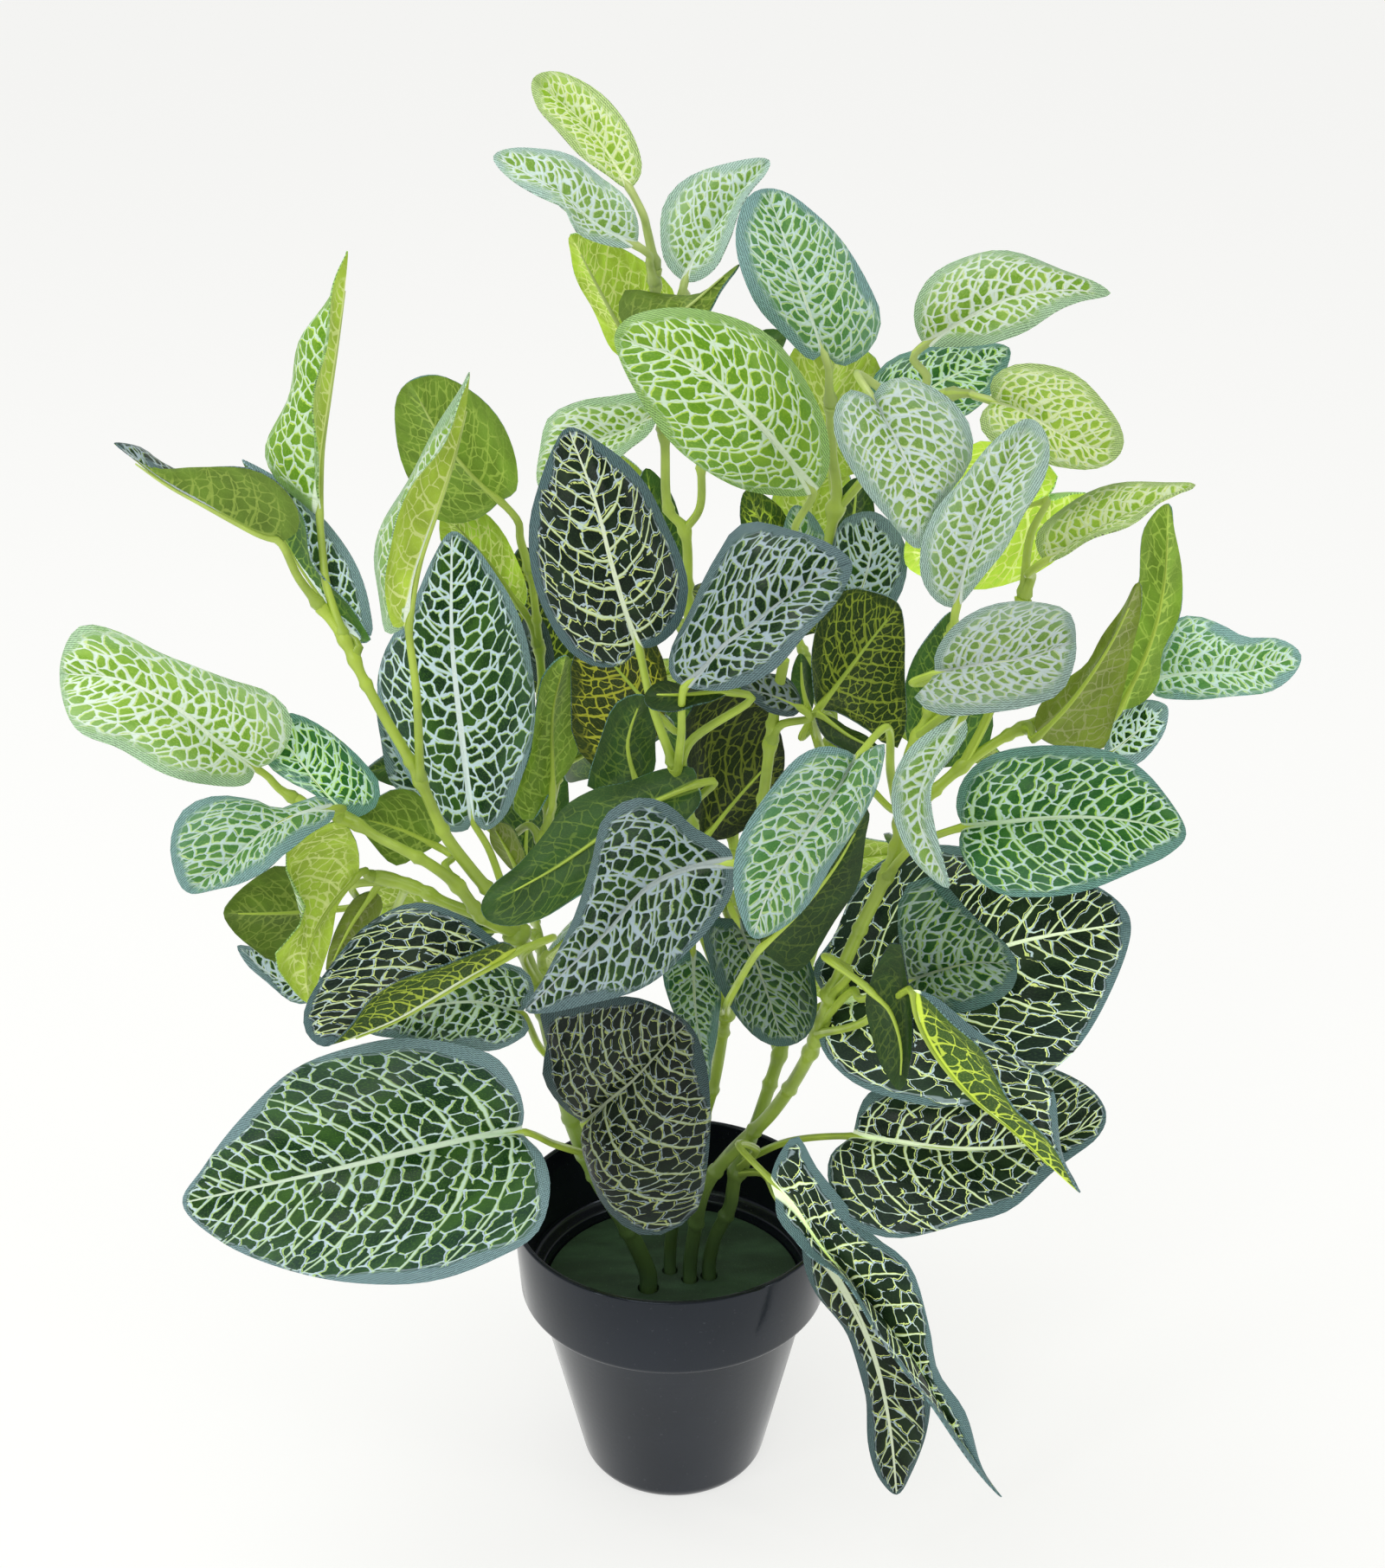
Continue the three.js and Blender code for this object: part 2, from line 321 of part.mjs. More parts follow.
    a: [[1057, 374], [1060, 345], [1085, 311], [1141, 291], [1195, 299], [1245, 318]],
    b: [[1100, 400], [1150, 397], [1190, 379], [1225, 359], [1255, 346]] },
  { id: "E5", on: "middle_right", root: [1020, 520], face: "front", depth: 4, lean: 4, bow: -2, da: 10, db: -6,
    base: [1030, 478], rib: [[1085, 442]], tip: [1166, 402],
    a: [[1005, 450], [1025, 420], [1065, 402], [1120, 398]], b: [[1080, 490], [1118, 480], [1145, 455], [1163, 425]] },
  { id: "E6", on: "right_high", root: [1182, 692], face: "back", depth: -26, lean: 14, bow: 6, da: 8, db: -2,
    base: [1210, 578], rib: [[1150, 595], [1095, 625]], tip: [1046, 652],
    a: [[1222, 550], [1180, 520], [1125, 511], [1082, 556], [1052, 606]],
    b: [[1255, 572], [1250, 610], [1225, 642], [1190, 667], [1135, 681], [1080, 672]], way: [1190, 620, -40] },
  { id: "E7", on: "right_high", root: [1182, 692], face: "front", depth: -54, lean: -10, bow: 0, da: 12, db: -10,
    base: [1207, 648], rib: [[1258, 618], [1310, 592]], tip: [1381, 560],
    a: [[1197, 622], [1216, 596], [1250, 572], [1290, 561], [1340, 557]],
    b: [[1225, 644], [1268, 622], [1312, 600], [1350, 577]] },
  { id: "E8", on: "right", root: [1236, 812], face: "back", depth: -26, lean: 0, bow: 4, da: 4, db: 0,
    base: [1293, 820], rib: [[1330, 740], [1345, 670]], tip: [1350, 582],
    a: [[1275, 800], [1290, 730], [1316, 673], [1322, 610]],
    b: [[1325, 808], [1340, 785], [1343, 755], [1362, 710], [1366, 665], [1357, 615]] },
  { id: "E9", on: "right", root: [1180, 842], face: "back", depth: -50, lean: -8, bow: 4, da: 6, db: 4,
    base: [1200, 850], rib: [[1245, 800], [1290, 730]], tip: [1316, 672],
    a: [[1196, 830], [1215, 798], [1262, 758], [1290, 712]],
    b: [[1235, 866], [1275, 866], [1288, 825], [1303, 775], [1318, 705]] },
  { id: "E10", on: "right", root: [1236, 812], face: "front", depth: -6, lean: -16, bow: 0, da: 10, db: -6,
    base: [1326, 786], rib: [[1380, 777], [1440, 776]], tip: [1503, 757],
    a: [[1335, 745], [1358, 715], [1386, 713], [1413, 723], [1440, 737], [1480, 739]],
    b: [[1335, 804], [1382, 808], [1430, 805], [1474, 796], [1497, 777]] },
  { id: "E11", on: "right", root: [1215, 824], face: "front", depth: -24, lean: -4, bow: 0, da: 8, db: -6,
    base: [1278, 874], rib: [[1312, 846]], tip: [1348, 816],
    a: [[1282, 842], [1318, 810]], b: [[1310, 884], [1340, 856]] },
  { id: "E12", on: "slant", root: [1022, 1014], face: "front", depth: -86, lean: -10, bow: -6, da: 12, db: -14,
    base: [1112, 956], rib: [[1180, 948], [1250, 944], [1315, 950]], tip: [1370, 964],
    a: [[1105, 935], [1112, 903], [1140, 875], [1185, 863], [1240, 862], [1290, 872], [1335, 905]],
    b: [[1108, 975], [1120, 1005], [1155, 1033], [1200, 1038], [1255, 1028], [1310, 1007], [1350, 987]],
    way: [1062, 974, -80] },
  { id: "F1", on: "slant", root: [1078, 815], face: "front", depth: -92, lean: -6, bow: -4, da: 10, db: -8,
    base: [1080, 779], rib: [[1130, 768], [1190, 759]], tip: [1243, 740],
    a: [[1080, 758], [1092, 734], [1120, 711], [1160, 696], [1200, 696], [1235, 708]],
    b: [[1070, 795], [1057, 809], [1084, 825], [1130, 825], [1185, 818], [1225, 800], [1240, 770]] },
  { id: "F2", on: "slant", root: [1062, 850], face: "front", depth: -86, lean: -12, bow: -4, da: 2, db: -4,
    base: [1112, 828], rib: [[1075, 885], [1060, 940]], tip: [1096, 1026],
    a: [[1085, 838], [1048, 868], [1031, 905], [1035, 950], [1060, 1000]],
    b: [[1117, 845], [1100, 875], [1078, 910], [1077, 955], [1090, 995]] },
  { id: "F3", on: "slant", root: [1040, 950], face: "front", depth: -106, lean: -34, bow: -4, da: 0, db: 6,
    base: [992, 874], rib: [[955, 931], [916, 987], [885, 1040]], tip: [870, 1084],
    a: [[975, 866], [950, 863], [920, 876], [888, 912], [855, 970], [848, 1025], [856, 1060]],
    b: [[1022, 860], [1018, 895], [988, 960], [957, 1006], [925, 1052], [893, 1078]] },
  { id: "F4", on: "centre", root: [838, 1172], face: "back", depth: -90, lean: -6, bow: 2, da: 4, db: 4,
    base: [880, 1094], rib: [[925, 1050], [965, 1000]], tip: [1002, 935],
    a: [[900, 1115], [918, 1123], [957, 1078], [988, 1026], [1000, 970]],
    b: [[878, 1062], [898, 1005], [948, 950]], way: [845, 1150, -62] },
  { id: "F5", on: "centre", root: [856, 1070], face: "front", depth: -42, lean: -10, bow: 0, da: 6, db: 0,
    base: [850, 1062], rib: [[880, 1130]], tip: [905, 1209],
    a: [[900, 1062], [935, 1110], [944, 1165], [930, 1198]],
    b: [[814, 1064], [817, 1105], [845, 1165], [875, 1200]] },
  { id: "F6", on: "centre", root: [838, 1172], face: "front", depth: -30, lean: -6, bow: 0, da: 4, db: -2,
    base: [800, 1096], rib: [[804, 1170]], tip: [818, 1252],
    a: [[825, 1125], [833, 1160], [824, 1210]], b: [[768, 1118], [772, 1155], [795, 1205]] },

  // Lower right.
  { id: "G1", on: "slant", root: [936, 1216], face: "front", depth: -34, lean: -8, bow: -8, da: 22, db: -24,
    base: [955, 1160], rib: [[1050, 1140], [1165, 1092]], tip: [1306, 1066],
    a: [[940, 1120], [965, 1080], [1000, 1010], [1060, 978], [1150, 985], [1240, 1012], [1290, 1040]],
    b: [[947, 1205], [980, 1247], [1040, 1271], [1105, 1279], [1160, 1265], [1235, 1221], [1283, 1145]] },
  { id: "G2", on: "slant", root: [950, 1180], face: "front", depth: -84, lean: -4, bow: -4, da: 8, db: -8,
    base: [1047, 1135], rib: [[1090, 1120], [1130, 1112]], tip: [1174, 1115],
    a: [[1040, 1090], [1042, 1030], [1066, 1012], [1090, 1022], [1125, 1060], [1165, 1095]],
    b: [[1060, 1158], [1104, 1171], [1145, 1160], [1171, 1140]] },
  { id: "G3", on: "slant", root: [960, 1150], face: "back", depth: -98, lean: -10, bow: 0, da: 4, db: 2,
    base: [1003, 1142], rib: [[1028, 1165], [1042, 1210]], tip: [1040, 1260],
    a: [[1000, 1170], [1010, 1205], [1025, 1245]], b: [[1015, 1112], [1037, 1082], [1047, 1130], [1055, 1185], [1050, 1238]] },
  { id: "G4", on: "slant", root: [944, 1196], face: "front", depth: -104, lean: -16, bow: 0, da: 10, db: -8,
    base: [1054, 1144], rib: [[1070, 1195], [1120, 1262], [1175, 1308]], tip: [1248, 1378],
    a: [[1080, 1152], [1125, 1190], [1175, 1222], [1210, 1250], [1222, 1300], [1232, 1345]],
    b: [[1073, 1155], [1120, 1200], [1155, 1250], [1190, 1298], [1225, 1340]], way: [1000, 1180, -84] },
  { id: "G5", on: "middle", root: [858, 1342], face: "front", depth: -40, lean: -10, bow: -6, da: 20, db: -20,
    base: [984, 1313], rib: [[1040, 1320], [1090, 1327], [1160, 1326], [1225, 1315]], tip: [1278, 1290],
    a: [[992, 1283], [1003, 1264], [1060, 1240], [1130, 1225], [1200, 1230], [1262, 1260]],
    b: [[960, 1336], [957, 1365], [978, 1409], [1032, 1431], [1118, 1414], [1165, 1398], [1215, 1354], [1268, 1315]],
    way: [915, 1318, -22] },
  { id: "H1", on: "middle", root: [853, 1352], face: "front", depth: -52, lean: -40, bow: 0, da: 6, db: -10,
    base: [891, 1364], rib: [[919, 1395], [946, 1436], [992, 1496], [1052, 1567], [1103, 1655]], tip: [1157, 1730],
    a: [[903, 1330], [921, 1311], [945, 1352], [1006, 1426], [1050, 1460], [1072, 1530], [1082, 1582],
      [1115, 1632], [1136, 1700]],
    b: [[896, 1383], [898, 1406], [916, 1432], [936, 1456], [975, 1482], [1030, 1560], [1095, 1658]] },
  { id: "H2", on: "middle", root: [851, 1358], face: "front", depth: -44, lean: -20, bow: 0, da: 4, db: 4,
    base: [930, 1426], rib: [[980, 1500], [1010, 1570], [1028, 1650]], tip: [1036, 1727],
    a: [[928, 1452], [943, 1498], [984, 1546], [998, 1610], [1004, 1670], [1018, 1710]],
    b: [[975, 1440], [1040, 1510], [1072, 1580], [1070, 1650], [1053, 1703]] },
];

// Twigs at the back, hidden in the picture. Each leaves its parent at a picture place and runs to an end
// [column, row, depth], bulging backwards by bulge mm. Its leaves stand by turns to either side and face
// away from the pot's axis, and the last one ends it.
const BACK_TWIGS = [
  { name: "back_left", stem: "stem_left", parent: "left_inner", from: [634, 930], end: [664, 850, 60],
    bulge: 14, leaves: 4, length: 54 },
  { name: "back_low_left", stem: "stem_left", parent: "left", from: [628, 1170], end: [612, 1050, 72],
    bulge: 16, leaves: 3, length: 58 },
  { name: "back_middle", stem: "stem_middle", parent: "middle", from: [900, 1220], end: [790, 930, 110],
    bulge: 24, leaves: 5, length: 64 },
  { name: "back_high", stem: "stem_middle", parent: "middle", from: [962, 860], end: [905, 700, 62],
    bulge: 12, leaves: 3, length: 50 },
  { name: "back_right", stem: "stem_right", parent: "slant", from: [960, 1150], end: [1160, 1060, 42],
    bulge: 10, leaves: 3, length: 52 },
  { name: "back_crown", stem: "stem_centre", parent: "crown", from: [799, 740], end: [742, 690, 44],
    bulge: 8, leaves: 2, length: 38 },
];
const BACK_WIDTH = 0.66;
const BACK_DROOP = 0.22;

// A closed mesh of points and triangles as a solid.
function solidOf(positions, triangles) {
  const geometry = new THREE.BufferGeometry();
  geometry.setAttribute("position", new THREE.Float32BufferAttribute(positions, 3));
  geometry.setIndex(triangles);
  return solidOfGeometry(geometry);
}

function solidOfGeometry(geometry) {
  geometry.deleteAttribute("normal");
  geometry.deleteAttribute("uv");
  const merged = mergeVertices(geometry, 1e-4);
  const mesh = new wasm.Mesh({
    numProp: 3,
    vertProperties: merged.attributes.position.array,
    triVerts: new Uint32Array(merged.index.array),
  });
  return new wasm.Manifold(mesh);
}

function meshOf(name, solid, material) {
  const cut = solid.getMesh();
  const geometry = new THREE.BufferGeometry();
  geometry.setAttribute("position", new THREE.BufferAttribute(new Float32Array(cut.vertProperties), 3));
  geometry.setIndex(new THREE.BufferAttribute(new Uint32Array(cut.triVerts), 1));
  const flat = geometry.toNonIndexed();
  flat.computeVertexNormals();
  const mesh = new THREE.Mesh(flat, material);
  mesh.name = name;
  return mesh;
}

function plastic(color, roughness) {
  return new THREE.MeshStandardMaterial({ color, roughness, metalness: 0 });
}

// A solid turned round the pot's axis, from a profile of [radius, height] that starts and ends on the axis.
function turned(profile, sides) {
  const points = profile.map(([radius, height]) => new THREE.Vector2(radius, height));
  const lathe = new THREE.LatheGeometry(points, sides);
  lathe.rotateX(Math.PI / 2);
  return solidOfGeometry(lathe);
}

// A tube whose sections follow a curve and taper from the first radius to the last.
function tube(curve, radii, sides, steps) {
  const points = [];
  const triangles = [];
  const frames = curve.computeFrenetFrames(steps, false);
  for (let i = 0; i <= steps; i++) {
    const middle = curve.getPointAt(i / steps);
    const radius = radii[0] + ((radii[1] - radii[0]) * i) / steps;
    for (let k = 0; k < sides; k++) {
      const turn = (2 * Math.PI * k) / sides;
      const corner = middle.clone();
      corner.addScaledVector(frames.normals[i], radius * Math.cos(turn));
      corner.addScaledVector(frames.binormals[i], radius * Math.sin(turn));
      points.push(corner.x, corner.y, corner.z);
    }
  }
  for (let i = 0; i < steps; i++) {
    for (let k = 0; k < sides; k++) {
      const here = i * sides + k;
      const beside = i * sides + ((k + 1) % sides);
      triangles.push(here, beside, beside + sides, here, beside + sides, here + sides);
    }
  }
  const last = steps * sides;
  for (let k = 1; k < sides - 1; k++) {
    triangles.push(0, k + 1, k, last, last + k, last + k + 1);
  }
  return solidOf(points, triangles);
}

function pictureCurve(points) {
  const flat = points.map(([column, row]) => new THREE.Vector3(column, row, 0));
  return new THREE.CatmullRomCurve3(flat, false, "centripetal");
}

// The left margin, midrib and right margin of a measured leaf, as functions of the way from base to tip.
function measuredLeaf(leaf) {
  const rib = pictureCurve([leaf.base, ...leaf.rib, leaf.tip]);
  const marginA = pictureCurve([leaf.base, ...leaf.a, leaf.tip]);
  const marginB = pictureCurve([leaf.base, ...leaf.b, leaf.tip]);
  const ribDepth = (u) => leaf.depth + leaf.lean * u + leaf.bow * 4 * u * (1 - u);
  const line = (curve, extra) => (u) => {
    const at = curve.getPointAt(u);
    return place(at.x, at.y, ribDepth(u) + extra * Math.sin(Math.PI * u));
  };
  const middle = leaf.a[Math.floor(leaf.a.length / 2)];
  const run = [leaf.tip[0] - leaf.base[0], leaf.tip[1] - leaf.base[1]];
  const side = run[0] * (middle[1] - leaf.base[1]) - run[1] * (middle[0] - leaf.base[0]);
  const aIsLeft = side < 0 === (leaf.face === "front");
  const a = line(marginA, leaf.da);
  const b = line(marginB, leaf.db);
  return { rib: line(rib, 0), left: aIsLeft ? a : b, right: aIsLeft ? b : a };
}

// A leaf of plain form: its base, the way it points, the way its left side points, its length, in mm.
function plainLeaf(base, ahead, leftward, length, droop) {
  const up = new THREE.Vector3().crossVectors(ahead, leftward).normalize();
  const rib = (u) =>
    base.clone().addScaledVector(ahead, length * u).addScaledVector(up, -length * droop * u * u);
  const halfWidth = (u) => 0.5 * BACK_WIDTH * length * Math.sin(Math.PI * u ** 0.82) ** 0.8;
  const margin = (sign) => (u) =>
    rib(u).addScaledVector(leftward, sign * halfWidth(u)).addScaledVector(up, -0.12 * halfWidth(u));
  return { rib, left: margin(1), right: margin(-1) };
}

// The blade of a leaf as a thin closed solid: two faces split into like triangles, with the midrib's points
// and the two margins' points in rows, and a rim round them.
function blade({ rib, left, right }) {
  const along = new THREE.CatmullRomCurve3([0, 0.25, 0.5, 0.75, 1].map(rib));
  const rows = THREE.MathUtils.clamp(Math.round(along.getLength() / ROW_STEP), 2, 7);
  const normalAt = (u, side) => {
    const run = rib(Math.min(u + 0.03, 0.999)).sub(rib(Math.max(u - 0.03, 0.001)));
    const span = (side < 0 ? rib : left)(u).sub((side > 0 ? rib : right)(u));
    return run.cross(span).normalize();
  };
  const points = [rib(0)];
  const normals = [normalAt(0.06, 0)];
  for (let i = 1; i <= rows; i++) {
    const u = 0.5 - 0.5 * Math.cos((Math.PI * (i + 0.1)) / (rows + 1.2));
    points.push(right(u), rib(u), left(u));
    normals.push(normalAt(u, -1), normalAt(u, 0), normalAt(u, 1));
  }
  points.push(rib(1));
  normals.push(normalAt(0.94, 0));

  const last = points.length - 1;
  const total = points.length;
  const faces = [[0, 2, 1], [0, 3, 2], [last, last - 3, last - 2], [last, last - 2, last - 1]];
  for (let i = 1; i < last - 3; i += 3) {
    faces.push([i, i + 1, i + 4], [i, i + 4, i + 3], [i + 1, i + 2, i + 4], [i + 2, i + 5, i + 4]);
  }
  const border = [0];
  for (let i = 1; i < last; i += 3) border.push(i);
  border.push(last);
  for (let i = last - 1; i > 0; i -= 3) border.push(i);

  const upper = points.map((point, i) => point.clone().addScaledVector(normals[i], BLADE / 2));
  const lower = points.map((point, i) => point.clone().addScaledVector(normals[i], -BLADE / 2));
  const positions = [...upper, ...lower].flatMap((point) => point.toArray());
  const triangles = [];
  for (const [p, q, r] of faces) triangles.push(p, r, q, p + total, q + total, r + total);
  for (let i = 0; i < border.length; i++) {
    const p = border[i];
    const q = border[(i + 1) % border.length];
    triangles.push(p, q + total, q, p, p + total, q + total);
  }
  const solid = solidOf(positions, triangles);
  return solid.volume() > 0 ? solid : solidOf(positions, triangles.reverse());
}

// A petiole: from a point inside its branch it bends over to the blade and runs under its first part.
function petiole(root, along, leaf, way) {
  const base = leaf.rib(0);
  const inward = leaf.rib(0.1).sub(base).normalize();
  const span = root.distanceTo(base);
  const points = [root];
  if (way) points.push(way);
  else points.push(root.clone().addScaledVector(along, 0.22 * span).lerp(base, 0.3));
  if (!way) points.push(base.clone().addScaledVector(inward, -0.25 * span).lerp(root, 0.1));
  points.push(base, leaf.rib(0.045));
  const curve = new THREE.CatmullRomCurve3(points, false, "centripetal");
  const steps = THREE.MathUtils.clamp(Math.round(curve.getLength() / 11), 3, 6);
  return tube(curve, [PETIOLE_RADIUS * 1.15, PETIOLE_RADIUS * 0.85], PETIOLE_SIDES, steps);
}

const branches = new Map();

function nearestOn(curve, [column, row]) {
  let best = { gap: Infinity };
  for (let i = 0; i <= 200; i++) {
    const point = curve.getPointAt(i / 200);
    const [x, y] = pictureOf(point);
    const gap = Math.hypot(x - column, y - row);
    if (gap < best.gap) best = { gap, point, along: curve.getTangentAt(i / 200) };
  }
  return best;
}

const parts = { stem_left: [], stem_right: [], stem_middle: [], stem_centre: [] };
const feet = [];

for (const branch of BRANCHES) {
  const points = branch.points.map(([column, row, depth]) => place(column, row, depth));
  if (branch.parent) {
    points[0] = nearestOn(branches.get(branch.parent), branch.points[0]).point;
  } else {
    const foot = points[0];
    foot.z = FILLER_TOP;
    feet.push({ x: foot.x, y: foot.y, radius: branch.radii[0] });
    foot.z = FILLER_TOP + 5;
    for (const depth of [0, 0.5, 1]) {
      const height = FILLER_TOP - depth * (HOLE_DEPTH - 1);
      points.unshift(new THREE.Vector3(foot.x, foot.y, height));
    }
  }
  const curve = new THREE.CatmullRomCurve3(points, false, "centripetal");
  branches.set(branch.name, curve);
  const steps = Math.max(6, Math.round(curve.getLength() / 24));
  parts[branch.stem].push(tube(curve, branch.radii, STEM_SIDES, steps));
}

for (const leaf of LEAVES) {
  const branch = BRANCHES.find((one) => one.name === leaf.on);
  const shape = measuredLeaf(leaf);
  const { point, along } = nearestOn(branches.get(leaf.on), leaf.root);
  const way = leaf.way && place(...leaf.way);
  parts[branch.stem].push(blade(shape), petiole(point, along, shape, way));
}

for (const twig of BACK_TWIGS) {
  const start = nearestOn(branches.get(twig.parent), twig.from).point;
  const end = place(...twig.end);
  const middle = start.clone().lerp(end, 0.5);
  middle.y += twig.bulge;
  const curve = new THREE.CatmullRomCurve3([start, middle, end], false, "centripetal");
  parts[twig.stem].push(tube(curve, [1.9, 1.2], STEM_SIDES, 6));
  for (let i = 0; i < twig.leaves; i++) {
    const at = 0.3 + (0.69 * i) / (twig.leaves - 1);
    const isLast = i === twig.leaves - 1;
    const root = curve.getPointAt(at);
    const outward = new THREE.Vector3(root.x, root.y + 30, 0).normalize();
    const aside = new THREE.Vector3(-outward.y, outward.x, 0).multiplyScalar(i % 2 ? 1 : -1);
    const ahead = aside.multiplyScalar(isLast ? 0.15 : 0.8).addScaledVector(outward, 0.3);
    ahead.z = isLast ? 0.9 : 0.15 * (i % 3);
    ahead.normalize();
    const facing = outward.clone().multiplyScalar(0.8);
    facing.z = 0.5;
    const leftward = facing.cross(ahead).normalize();
    const base = root.clone().addScaledVector(ahead, 12).addScaledVector(outward, 5);
    const shape = plainLeaf(base, ahead, leftward, twig.length * (1 - 0.06 * (i % 3)), BACK_DROOP);
    parts[twig.stem].push(blade(shape), petiole(root, curve.getTangentAt(at), shape));
  }
}

const plant = new THREE.Group();

// The pot: a tapering cup with a wide collar, a ledge inside at the collar's foot and a rounded bottom edge.
const collarFoot = POT_HEIGHT - COLLAR_HEIGHT;
const potProfile = [
  [0, 0],
  [BASE_RADIUS - BASE_EDGE, 0],
  [BASE_RADIUS - 0.3 * BASE_EDGE, 0.35 * BASE_EDGE],
  [BASE_RADIUS + 0.2, BASE_EDGE],
  [BODY_TOP_RADIUS, collarFoot],
  [COLLAR_BOTTOM_RADIUS - 1, collarFoot],
  [COLLAR_BOTTOM_RADIUS, collarFoot + 1.2],
  [RIM_RADIUS - 0.2, POT_HEIGHT - 0.8],
  [RIM_RADIUS - 0.8, POT_HEIGHT],
  [RIM_RADIUS - WALL, POT_HEIGHT - 0.3],
  [COLLAR_BOTTOM_RADIUS - WALL, collarFoot + 2.4],
  [LEDGE_RADIUS, collarFoot + 2],
  [BASE_RADIUS - WALL - 0.4, FLOOR + 0.6],
  [BASE_RADIUS - WALL - 2, FLOOR],
  [0, FLOOR],
];
plant.add(meshOf("pot", turned(potProfile, POT_SIDES), plastic(0x23272e, 0.25)));

// The filler plug, 0.3 mm clear of the pot, with a hole for each stem.
const innerSlope = (LEDGE_RADIUS - (BASE_RADIUS - WALL - 0.4)) / (collarFoot + 2 - FLOOR - 0.6);
const innerRadius = (height) => BASE_RADIUS - WALL - 0.4 + innerSlope * (height - FLOOR - 0.6);
const fillerProfile = [
  [0, FLOOR + FIT_GAP],
  [BASE_RADIUS - WALL - 2.6, FLOOR + FIT_GAP],
  [innerRadius(FLOOR + 2) - FIT_GAP, FLOOR + 2],
  [innerRadius(FILLER_TOP) - FIT_GAP - 0.3, FILLER_TOP - 0.8],
  [innerRadius(FILLER_TOP) - FIT_GAP - 1, FILLER_TOP],
  [0, FILLER_TOP],
];
let filler = turned(fillerProfile, POT_SIDES);
for (const foot of feet) {
  const width = foot.radius + HOLE_GAP;
  const hole = new THREE.CylinderGeometry(width, width, HOLE_DEPTH + 8, 12);
  hole.rotateX(Math.PI / 2);
  hole.translate(foot.x, foot.y, FILLER_TOP - HOLE_DEPTH / 2 + 4);
  filler = filler.subtract(solidOfGeometry(hole));
}
plant.add(meshOf("filler", filler, plastic(0x35503a, 0.8)));

// The leafy stems: every tube, petiole and blade of a stem is joined into one body.
for (const [name, solids] of Object.entries(parts)) {
  let stem = solids[0];
  for (const solid of solids.slice(1)) stem = stem.add(solid);
  plant.add(meshOf(name, stem, plastic(0x4f8a3a, 0.45)));
}

export default plant;
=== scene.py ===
"""An artificial nerve plant in a small black pot: printed leaves, moulded stems, green filler and pot."""

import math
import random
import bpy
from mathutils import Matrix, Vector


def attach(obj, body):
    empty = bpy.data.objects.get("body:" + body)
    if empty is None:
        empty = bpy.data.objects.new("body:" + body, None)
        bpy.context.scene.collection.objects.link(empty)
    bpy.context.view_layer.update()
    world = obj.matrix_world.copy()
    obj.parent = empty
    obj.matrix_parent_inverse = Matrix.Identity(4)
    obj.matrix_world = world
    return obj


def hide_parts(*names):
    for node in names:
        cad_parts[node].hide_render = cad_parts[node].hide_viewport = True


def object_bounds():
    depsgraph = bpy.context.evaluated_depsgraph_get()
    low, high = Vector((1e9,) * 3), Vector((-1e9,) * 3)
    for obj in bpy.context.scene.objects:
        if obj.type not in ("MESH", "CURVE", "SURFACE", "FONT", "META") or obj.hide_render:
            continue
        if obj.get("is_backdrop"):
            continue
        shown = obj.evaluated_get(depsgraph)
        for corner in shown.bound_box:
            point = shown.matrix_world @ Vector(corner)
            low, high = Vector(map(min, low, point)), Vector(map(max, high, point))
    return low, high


bl_info = {
    "name": "Potted nerve plant",
    "version": (1, 0, 0),
    "blender": (4, 5, 0),
    "location": "3D View > Sidebar > Nerve Plant",
    "description": "Models the leaves, stems, filler and pot of an artificial nerve plant on its fixed frame",
    "category": "Mesh",
}

import bpy
import numpy as np
from bpy.props import FloatProperty, FloatVectorProperty, PointerProperty
from bpy.types import Operator, Panel, PropertyGroup
from mathutils import Vector

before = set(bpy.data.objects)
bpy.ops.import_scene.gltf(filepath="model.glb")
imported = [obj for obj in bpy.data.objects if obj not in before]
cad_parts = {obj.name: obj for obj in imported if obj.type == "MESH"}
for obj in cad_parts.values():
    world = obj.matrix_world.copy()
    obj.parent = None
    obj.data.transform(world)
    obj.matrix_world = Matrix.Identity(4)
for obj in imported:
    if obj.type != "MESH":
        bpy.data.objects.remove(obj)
CAD_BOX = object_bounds()

MM = 0.001

# The picture that the plant was measured in is 1600 x 1812 pixels. A place in it is (column, row), and a
# depth in mm, 0 at the pot's axis and rising away from the viewer, fixes it in space.
PICTURE = (1600, 1812)
EYE = np.array((6.7, -717.4, 603.0))
EYE_PITCH = math.radians(25.4)
FOCAL = 2900

FILLER_TOP = 70  # mm above the table
HOLE_DEPTH = 26  # mm of stem in the filler
SLIMMER = 0.88  # thickness of a stem between its rings, as a share of the radii below
RING_STEP, RING_RISE, RING_REACH = 27, 0.65, 1.2  # mm
FORK_RISE, FORK_REACH = 0.8, 2.2  # mm
STEM_SIDES, STALK_SIDES = 14, 8
POT_STEPS, FILLER_STEPS = 160, 128
BLADE_STEP = 2.4  # mm between the rows and columns of a blade
NET_SLANT = math.radians(50)  # between the midrib and the side veins

